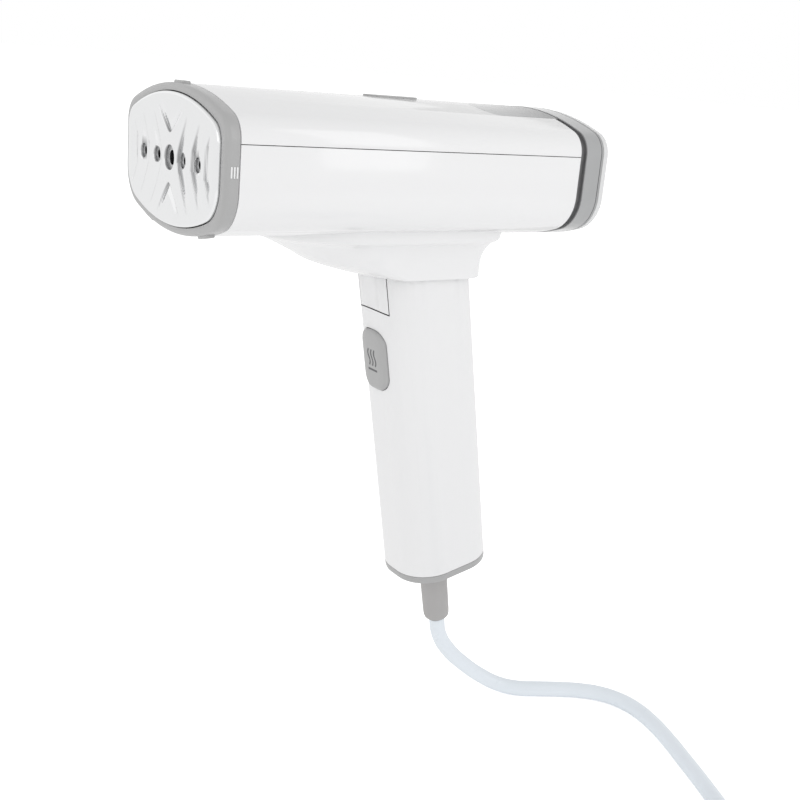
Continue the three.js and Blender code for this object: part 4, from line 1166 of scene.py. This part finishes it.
def eased(stations: Sequence[Sequence[float]], parts: int) -> list[tuple[float, ...]]:
    """Stations with smooth ones between them, on a Catmull-Rom curve.

    Args:
        stations: The given stations.
        parts: How many parts each gap is cut into.

    Returns:
        All the stations, the given ones among them.
    """
    rows = []
    last = len(stations) - 1
    for i in range(last):
        around = [stations[min(max(i + k, 0), last)] for k in (-1, 0, 1, 2)]
        for step in range(parts):
            t = step / parts
            rows.append(tuple(
                0.5 * (2 * b + (c - a) * t + (2 * a - 5 * b + 4 * c - d) * t ** 2
                       + (3 * b - a - 3 * c + d) * t ** 3) for a, b, c, d in zip(*around)))
    return rows + [tuple(stations[-1])]


# ---------------------------------------------------------------- water tank
@dataclass
class WaterTank:
    """The smoky tank: the part in the bay, its window, the band behind the shells and the lip."""

    front: float = 124.0
    band_front: float = 166.4
    band_rear: float = 175.7
    wall: float = 2.2
    fit: float = 0.5
    waist_inset: float = 1.6
    cover_thick: float = 3.2
    valve_z: float = -10.0
    fill_y: float = 169.7
    fill_hole: float = 4.2
    fill_seat: float = 5.3
    pad_radius: float = 8.4
    pad_high: float = 7.5
    catch_half: float = 4.5
    catch_deep: float = 8.0
    catch_low: float = 11.0
    catch_high: float = 22.4
    port_radius: float = 2.6

    def body(self, barrel: Barrel) -> Solid:
        """The tank's own moulding.

        Args:
            barrel: The barrel, whose window the tank fills.

        Returns:
            The solid.
        """
        inner = SHELL_WALL + self.fit
        body = Solid.along_y(BARREL.points(inner), self.front, BARREL_REAR + 2)
        land = Solid.along_y(BARREL.points(0.1), self.front, BARREL_REAR + 2).common(
            Solid.along_z(barrel.window(-self.fit), 15, 40))
        waist = Solid.along_y(BARREL.points(self.waist_inset), BARREL_REAR + 1, self.band_front + 1)
        bands = [(self.band_front, 0.35), (self.band_front + 0.35, 0), (self.band_rear - 1.15, 0),
                 (self.band_rear - 1.0, 0.25), (self.band_rear - 0.7, 0.25),
                 (self.band_rear - 0.55, 0), (self.band_rear, 0)]
        band = Solid.from_rings([[Vector((x, y, z)) for x, z in BARREL.points(inset)]
                                 for y, inset in bands])
        hollow = Solid.along_y(BARREL.points(inner + self.wall), self.front + self.wall,
                               self.band_rear - self.wall)
        pad = Solid.along_z(circle(0, self.fill_y, self.pad_radius), BARREL.bottom,
                            BARREL.bottom + self.pad_high)
        half, wall = self.catch_half, 2.0
        pocket_wall = Solid.block((-half - wall, half + wall),
                                  (self.front, self.front + self.catch_deep + wall),
                                  (self.catch_low - wall, 30))
        water = hollow.cut(pad, pocket_wall)
        pocket = Solid.block((-half, half), (self.front - 1, self.front + self.catch_deep),
                             (self.catch_low, self.catch_high))
        port = Solid.along_y(circle(0, self.valve_z, self.port_radius), self.front - 1,
                             self.front + 4)
        hole = Solid.along_z(circle(0, self.fill_y, self.fill_hole), -40, -15)
        seat = Solid.along_z(circle(0, self.fill_y, self.fill_seat), -40, BARREL.bottom + 2.4)
        return body.join(land, waist, band).cut(water, pocket, port, hole, seat)

    def shade(self, place: Vector) -> float:
        """Painted shade: dark in the gap ahead of the band and in the fine groove behind it."""
        if BARREL_REAR - 0.6 < place.y < self.band_front + 0.1:
            return 0.9
        line = self.band_rear - 0.85
        return 0.75 if abs(place.y - line) < 0.2 else 0.0

    def cover(self) -> Solid:
        """The clear lip behind the band."""
        front = self.band_rear + GAP
        rear = front + self.cover_thick
        rows = [(front, 0.25), (front + 0.2, 0), (rear - 1.4, 0)]
        rows += [(rear - 1.4 + 1.4 * math.sin(t), 1.2 * (1 - math.cos(t)))
                 for t in (i / 6 * math.pi / 2 for i in range(1, 7))]
        return Solid.from_rings([[Vector((x, y, z)) for x, z in BARREL.points(inset)]
                                 for y, inset in rows])

    def cover_shade(self, place: Vector) -> float:
        """A grey edge line around the lip's front."""
        return 0.8 if place.y < self.band_rear + GAP + 0.1 else 0.0

    def build(self, barrel: Barrel) -> None:
        """Makes the tank and its lip."""
        Piece("tank_body", Body.TANK, "smoke_plastic", ("water_tank",), SMOKE).make(
            self.body(barrel).shade(self.shade), HEAD)
        Piece("tank_lip", Body.TANK, "clear_plastic", ("tank_rear_cover",), CLEAR).make(
            self.cover().shade(self.cover_shade), HEAD)


# ---------------------------------------------------------------- handle
@dataclass
class Handle:
    """The folding handle, drawn about the top of its axis: -Y is in front and -Z runs down it."""

    half: float = 20.0
    deep: float = 23.6
    corner: float = 17.0
    wall: float = 2.2
    top: float = 2.0
    bottom: float = -143.2
    cap_thick: float = 3.6
    cap_round: float = 1.2
    lip_high: float = 4.4
    lip_inset: float = 4.4
    knuckle: float = 7.0
    knuckle_half: float = 7.4
    pivot_z: float = -4.0
    pin_radius: float = 1.6
    apron_half: float = 11.3
    apron_thick: float = 2.2
    apron_bottom: float = -12.0
    relief_radius: float = 6.8
    relief_end: float = -179.6
    relief_y: float = -1.5
    screw_x: float = 11.0
    screw_seat: float = 1.8         # how deep each screw's seat goes into the cap
    seat_radius: float = 3.1
    pilot_radius: float = 1.8

    @property
    def pivot_y(self) -> float:
        """Where the hinge's axis is, from front to rear."""
        return self.knuckle - self.deep

    @property
    def sweep(self) -> float:
        """The radius that the hinge cover's lower edge sweeps."""
        return math.hypot(self.knuckle, self.pivot_z - self.apron_bottom)

    def section(self, inset: float = 0.0, steps: int = 24) -> list[Point2]:
        """The handle's section, drawn in by an inset."""
        return round_rect(2 * (self.half - inset), 2 * (self.deep - inset), self.corner - inset,
                          steps=steps)

    def front(self, x: float, proud: float = 0.0) -> float:
        """How far forward the handle's surface is at a width, when it is grown by a little."""
        beyond = max(abs(x) - (self.half - self.corner), 0)
        return self.corner - self.deep - math.sqrt((self.corner + proud) ** 2 - beyond ** 2)

    def above(self, z: float) -> Solid:
        """Everything above a level plane that crosses the handle's axis at a height."""
        level = Solid.block((-60, 60), (-60, 60), (0, 60))
        return level.moved(Matrix.Translation((0, 0, z)) @ Matrix.Rotation(-RAKE, 4, "X"))

    def disc(self, radius: float, half: float) -> Solid:
        """A round block about the hinge's axis."""
        return Solid.along_x(circle(self.pivot_y, self.pivot_z, radius, 96), -half, half)

    def sleeve(self, trigger: "Trigger") -> Solid:
        """The handle's outer sleeve.

        Args:
            trigger: The trigger, which the sleeve's mouth follows.

        Returns:
            The solid.
        """
        wall = Solid.along_z(self.section(), self.bottom, 20).cut(
            Solid.along_z(self.section(self.wall), -200, 40), self.above(self.top))
        reach = self.apron_half + 0.2
        notch = Solid.block((-reach, reach), (-40, -10), (-30, 40)).common(
            self.disc(self.sweep + RUN, 20).join(
                Solid.block((-20, 20), (-40, -10), (self.pivot_z, 40))))
        mouth = Solid.along_y(trigger.pill(-GAP), -40, -10)
        return wall.cut(notch, mouth)

    def tongue(self) -> Solid:
        """The head's half of the hinge, with the cover that shows in the notch."""
        front, rear = self.pivot_y - self.knuckle, self.pivot_y + self.knuckle - 1
        reach, side = self.knuckle_half, self.apron_half
        arm = Solid.block((-reach, reach), (front, rear), (self.pivot_z, 30))
        apron = Solid.block((-side, side), (front, front + self.apron_thick),
                            (self.apron_bottom - 3, self.top + 8))
        web = Solid.block((-reach, reach), (front, self.pivot_y),
                          (self.apron_bottom, self.pivot_z))
        room = self.disc(self.sweep, 20).join(Solid.block((-20, 20), (-40, 40),
                                                          (self.pivot_z, 40)))
        low = apron.join(web).common(room)
        shaped = self.disc(self.knuckle - 0.2, reach).join(arm, low).common(
            Solid.along_z(self.section(0.15), -40, 40))
        return shaped.cut(self.disc(self.pin_radius + GAP, 20))

    def trimmed_tongue(self, barrel: Barrel) -> bpy.types.Mesh:
        """The tongue in the head's millimetres, kept clear of the neck's pocket.

        Args:
            barrel: The barrel, whose pocket takes the tongue's top.

        Returns:
            The mesh, in metres.
        """
        placed = self.tongue().moved(HEAD.inverted() @ HANDLE)
        roof = Solid.block((-30, 30), (60, 160), (barrel.roof_z - GAP, 0))
        wall = Solid.block((-30, 30), (60, barrel.pocket_front + GAP), (barrel.rim_z - 0.5, 0))
        solid = placed.cut(roof, wall).rounded(0.25)
        solid.mesh.transform(HEAD)
        return solid.mesh

    def cap(self) -> Solid:
        """The bottom cap with its lip, its cord hole and its screw seats."""
        top = self.bottom - GAP
        low = top - self.cap_thick
        edge = self.cap_round
        rows = [(low + edge * (1 - math.cos(t)), edge * (1 - math.sin(t)))
                for t in (i / 6 * math.pi / 2 for i in range(7))]
        rows += [(top - 0.2, 0), (top, 0.2)]
        disc = Solid.from_rings([[Vector((x, y, z)) for x, y in self.section(inset)]
                                 for z, inset in rows])
        lip = Solid.along_z(self.section(self.wall + GAP), top - 0.5, top + self.lip_high).cut(
            Solid.along_z(self.section(self.lip_inset), top, top + self.lip_high + 1))
        below, over = low - 10, top + 10
        hole = Solid.along_z(circle(0, self.relief_y, self.relief_radius - 1.1, 64), below, over)
        seats = [Solid.along_z(circle(side * self.screw_x, 0, self.seat_radius, 40), below,
                               low + self.screw_seat) for side in (-1, 1)]
        pilots = [Solid.along_z(circle(side * self.screw_x, 0, self.pilot_radius, 32), below, over)
                  for side in (-1, 1)]
        return disc.join(lip).cut(hole, *seats, *pilots)

    def boot(self) -> Solid:
        """The strain relief: a soft round boot with a rolled end and a flange inside the cap."""
        r, end, under = self.relief_radius, self.relief_end, self.bottom - GAP - self.cap_thick
        profile = [(r - 2.6, end), (r - 2.0, end + 0.12), (r - 1.35, end + 0.5),
                   (r - 0.85, end + 1.1), (r - 0.55, end + 2.1), (r - 0.4, end + 4),
                   (r - 0.1, under - GAP - 4), (r, under - GAP - 0.3), (r - 0.3, under - GAP),
                   (r - 1.4, under - GAP), (r - 1.4, self.bottom + GAP),
                   (r + 0.8, self.bottom + GAP), (r + 0.8, self.bottom + 2.2)]
        return Solid.turned(profile).moved(Matrix.Translation((0, self.relief_y, 0)))

    def build(self, barrel: Barrel, trigger: "Trigger") -> None:
        """Makes the handle's pieces.

        Args:
            barrel: The barrel that the hinge's tongue is fixed in.
            trigger: The trigger in the sleeve's mouth.
        """
        Piece("grip_sleeve", Body.HANDLE, "white_plastic", ("handle_sleeve",),
              HANDLE_WHITE).make(self.sleeve(trigger).rounded(0.25), HANDLE)
        Piece("hinge_cover", Body.HEAD, "white_plastic", ("hinge_tongue",),
              HANDLE_WHITE).adopt(self.trimmed_tongue(barrel))
        Piece("bottom_cap", Body.HANDLE, "grey_plastic", ("handle_bottom_cap",), GREY).make(
            self.cap(), HANDLE)
        Piece("strain_relief_boot", Body.HANDLE, "grey_plastic", ("strain_relief",),
              RELIEF_GREY).make(self.boot(), HANDLE, 40)


@dataclass
class Trigger:
    """The steam trigger: a pill whose face follows the handle, with a plain steam sign."""

    wide: float = 17.4
    long: float = 27.8
    z: float = -36.0
    proud: float = 1.6
    edge: float = 1.3
    corner: float = 6.6
    root_y: float = -19.0
    flange_thick: float = 2.6
    flange_wide: float = 1.7        # past the pill's own outline
    waves: int = 3
    wave_pitch: float = 2.3
    wave_swing: float = 0.65
    wave_low: float = -2.6          # from the pill's middle
    wave_tall: float = 7.5
    wave_wide: float = 0.7
    bar_half: float = 3.4
    bar_low: float = -4.6
    bar_wide: float = 0.9

    def pill(self, inset: float) -> list[Point2]:
        """The trigger's outline in X and Z."""
        return round_rect(self.wide - 2 * inset, self.long - 2 * inset, self.corner - inset,
                          0, self.z, 28)

    def face(self, handle: Handle) -> Solid:
        """The pill with its rolled edge and crowned face."""
        rings = [[Vector((x, self.root_y, z)) for x, z in self.pill(0)]]
        for i in range(7):
            turn = i / 6 * math.pi / 2
            inset, back = self.edge * (1 - math.cos(turn)), self.edge * (1 - math.sin(turn))
            rings.append([Vector((x, handle.front(x, self.proud) + back, z))
                          for x, z in self.pill(inset)])
        for i in range(1, 14):
            share = 1 - i / 14
            rings.append([Vector((x * share, handle.front(x * share, self.proud),
                                  self.z + (z - self.z) * share))
                          for x, z in self.pill(self.edge)])
        return Solid.from_rings(rings)

    def stroke(self, handle: Handle, points: Sequence[Point2], wide: float) -> Solid:
        """A raised line on the trigger's face.

        Args:
            handle: The handle whose surface the face follows.
            points: The line's points in X and Z.
            wide: The line's width.

        Returns:
            The solid.
        """
        rings = []
        last = len(points) - 1
        for i, (x, z) in enumerate(points):
            (ax, az), (bx, bz) = points[max(i - 1, 0)], points[min(i + 1, last)]
            across = Vector((az - bz, bx - ax)).normalized() * wide / 2
            edges = [(x - across.x, z - across.y), (x + across.x, z + across.y)]
            rings.append([Vector((ex, handle.front(ex, self.proud) + deep, ez))
                          for (ex, ez), deep in zip(edges + edges[::-1], (-0.1, -0.1, 0.4, 0.4))])
        return Solid.from_rings(rings)

    def sign(self, handle: Handle) -> Solid:
        """Wavy lines of steam over a short bar."""
        strokes = []
        for k in range(self.waves):
            middle = (k - (self.waves - 1) / 2) * self.wave_pitch
            wave = [(middle + self.wave_swing * math.sin(t * 2 * math.pi),
                     self.z + self.wave_low + self.wave_tall * t)
                    for t in (i / 20 for i in range(21))]
            strokes.append(self.stroke(handle, wave, self.wave_wide))
        bar = [(self.bar_half * (2 * i / 12 - 1), self.z + self.bar_low) for i in range(13)]
        strokes.append(self.stroke(handle, bar, self.bar_wide))
        return Solid(gathered([s.mesh for s in strokes]))

    def build(self, handle: Handle) -> None:
        """Makes the trigger and its sign.

        Args:
            handle: The handle that holds it.
        """
        inner = handle.wall + RUN - handle.deep
        flange = Solid.along_y(self.pill(-self.flange_wide), inner, inner + self.flange_thick).common(
            Solid.along_z(handle.section(handle.wall + RUN), -80, 0))
        stem = Solid.block((-3, 3), (inner + 1, -14), (-31, -25))
        Piece("trigger_face", Body.TRIGGER, "grey_plastic", ("trigger_button",), GREY).make(
            self.face(handle).join(flange, stem), HANDLE)
        Piece("trigger_sign", Body.TRIGGER, "grey_plastic", (), SYMBOL).make(
            self.sign(handle), HANDLE)


# ---------------------------------------------------------------- studio
@dataclass
class Studio:
    """A pale floor, soft light and a camera at a fixed place. Lengths are in metres."""

    eye: tuple[float, float, float] = (0.39677, -0.16884, 0.03943)
    right: tuple[float, float, float] = (0.55841, 0.82520, 0.08494)
    down: tuple[float, float, float] = (0.28211, -0.09262, -0.95490)
    ahead: tuple[float, float, float] = (-0.78012, 0.55719, -0.28452)
    lens: float = 50.4
    floor_half: float = 30.0
    sky_low: float = 1.0
    sky_high: float = 0.74
    floor_tone: float = 0.9
    floor_glow: float = 0.16        # as the object sees it
    floor_glow_seen: float = 0.55   # as the camera sees it

    def camera(self) -> None:
        """Sets the camera, from its place in the head's frame."""
        data = bpy.data.cameras.new("camera")
        data.lens = self.lens
        data.sensor_width = 36.0
        data.clip_start = 0.01
        made = bpy.data.objects.new("camera", data)
        axes = (Vector(self.right), -Vector(self.down), -Vector(self.ahead))
        turn = Matrix(axes).transposed().to_4x4()
        made.matrix_world = Matrix.Translation(HEAD_ORIGIN + Vector(self.eye)) @ turn
        bpy.context.scene.collection.objects.link(made)
        bpy.context.scene.camera = made

    def floor(self) -> None:
        """Makes the floor, level with the lowest thing that lies on it."""
        height = min(CAD_BOX[0][2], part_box("coil_tie")[0][2]) - 0.0001
        mesh = bpy.data.meshes.new("floor")
        reach = self.floor_half
        mesh.from_pydata([(x, y, height) for x, y in (
            (-reach, -reach), (reach, -reach), (reach, reach), (-reach, reach))], [],
            [(0, 1, 2, 3)])
        material = bpy.data.materials.new("pale_floor")
        material.use_nodes = True
        shader = material.node_tree.nodes["Principled BSDF"]
        shader.inputs["Base Color"].default_value = (*[self.floor_tone] * 3, 1)
        shader.inputs["Roughness"].default_value = 0.9
        shader.inputs["Specular IOR Level"].default_value = 0.0
        shader.inputs["Emission Color"].default_value = (1, 1, 1, 1)
        seen = material.node_tree.nodes.new("ShaderNodeLightPath")
        glow = material.node_tree.nodes.new("ShaderNodeMapRange")
        glow.inputs["To Min"].default_value = self.floor_glow
        glow.inputs["To Max"].default_value = self.floor_glow_seen
        material.node_tree.links.new(seen.outputs["Is Camera Ray"], glow.inputs["Value"])
        material.node_tree.links.new(glow.outputs["Result"], shader.inputs["Emission Strength"])
        mesh.materials.append(material)
        made = bpy.data.objects.new("floor", mesh)
        bpy.context.scene.collection.objects.link(made)

    def sky(self) -> None:
        """Soft light from all sides, a little darker from straight above."""
        world = bpy.data.worlds.new("studio")
        world.use_nodes = True
        tree = world.node_tree
        place = tree.nodes.new("ShaderNodeTexCoord")
        split = tree.nodes.new("ShaderNodeSeparateXYZ")
        ramp = tree.nodes.new("ShaderNodeMapRange")
        ramp.inputs["From Min"].default_value = 0.1
        ramp.inputs["From Max"].default_value = 0.9
        ramp.inputs["To Min"].default_value = self.sky_low
        ramp.inputs["To Max"].default_value = self.sky_high
        seen = tree.nodes.new("ShaderNodeLightPath")
        full = tree.nodes.new("ShaderNodeMath")
        full.operation = "MAXIMUM"
        tree.links.new(place.outputs["Generated"], split.inputs["Vector"])
        tree.links.new(split.outputs["Z"], ramp.inputs["Value"])
        tree.links.new(ramp.outputs["Result"], full.inputs[0])
        tree.links.new(seen.outputs["Is Camera Ray"], full.inputs[1])
        tree.links.new(full.outputs["Value"], tree.nodes["Background"].inputs["Strength"])
        tree.nodes["Background"].inputs["Color"].default_value = (1, 1, 1, 1)
        bpy.context.scene.world = world

    def lamp(self, name: str, place: Vector, target: Vector, size: Point2, power: float) -> None:
        """Adds one soft box.

        Args:
            name: Its name.
            place: Where it stands.
            target: Where it points.
            size: Its width and height.
            power: Its power, in watts.
        """
        data = bpy.data.lights.new(name, "AREA")
        data.shape = "RECTANGLE"
        data.size, data.size_y = size
        data.energy = power
        made = bpy.data.objects.new(name, data)
        turn = (target - place).to_track_quat("-Z", "Y").to_matrix().to_4x4()
        made.matrix_world = Matrix.Translation(place) @ turn
        bpy.context.scene.collection.objects.link(made)

    def build(self) -> None:
        """Sets up the whole studio."""
        self.camera()
        self.floor()
        self.sky()
        middle = Vector((0, 0, 0.08))
        self.lamp("side_box", Vector((1.1, 0.5, 0.75)), middle, (0.5, 1.2), 2.2)
        self.lamp("front_box", Vector((0.2, -1.3, 0.5)), middle, (0.9, 0.6), 1.0)
        bpy.context.scene.view_settings.view_transform = "Standard"


# ---------------------------------------------------------------- carried-over pieces
def dress_frame() -> None:
    """Gives every piece of the frame that still shows its finish, by its material slot."""
    for part in frame["record"]["subparts"]:
        node = frame["nodes"][part["node"]]
        if node.hide_render:
            continue
        finish = TIE if part["node"] == "coil_tie" else SLOT_FINISHES[part["material_slot"]]
        for place in node.material_slots:
            place.link = "OBJECT"
            place.material = finish.material()
        LOG.info("%s keeps its shape in %s", part["node"], finish.name)


def main() -> None:
    """Builds the studio and every piece in order."""
    logging.basicConfig(level=logging.INFO, format="%(name)s: %(message)s")
    Studio().build()
    rows = RowTree("pieces_in_a_row")
    barrel, handle, trigger = Barrel(), Handle(), Trigger()
    handle.build(barrel, trigger)
    Plug().build(rows)
    Cord().build()
    trigger.build(handle)
    SteamPlate().build()
    Bezel().build(rows)
    barrel.build()
    WaterTank().build(barrel)
    dress_frame()
    bpy.data.node_groups.remove(rows.tree)


if __name__ == "__main__":
    main()
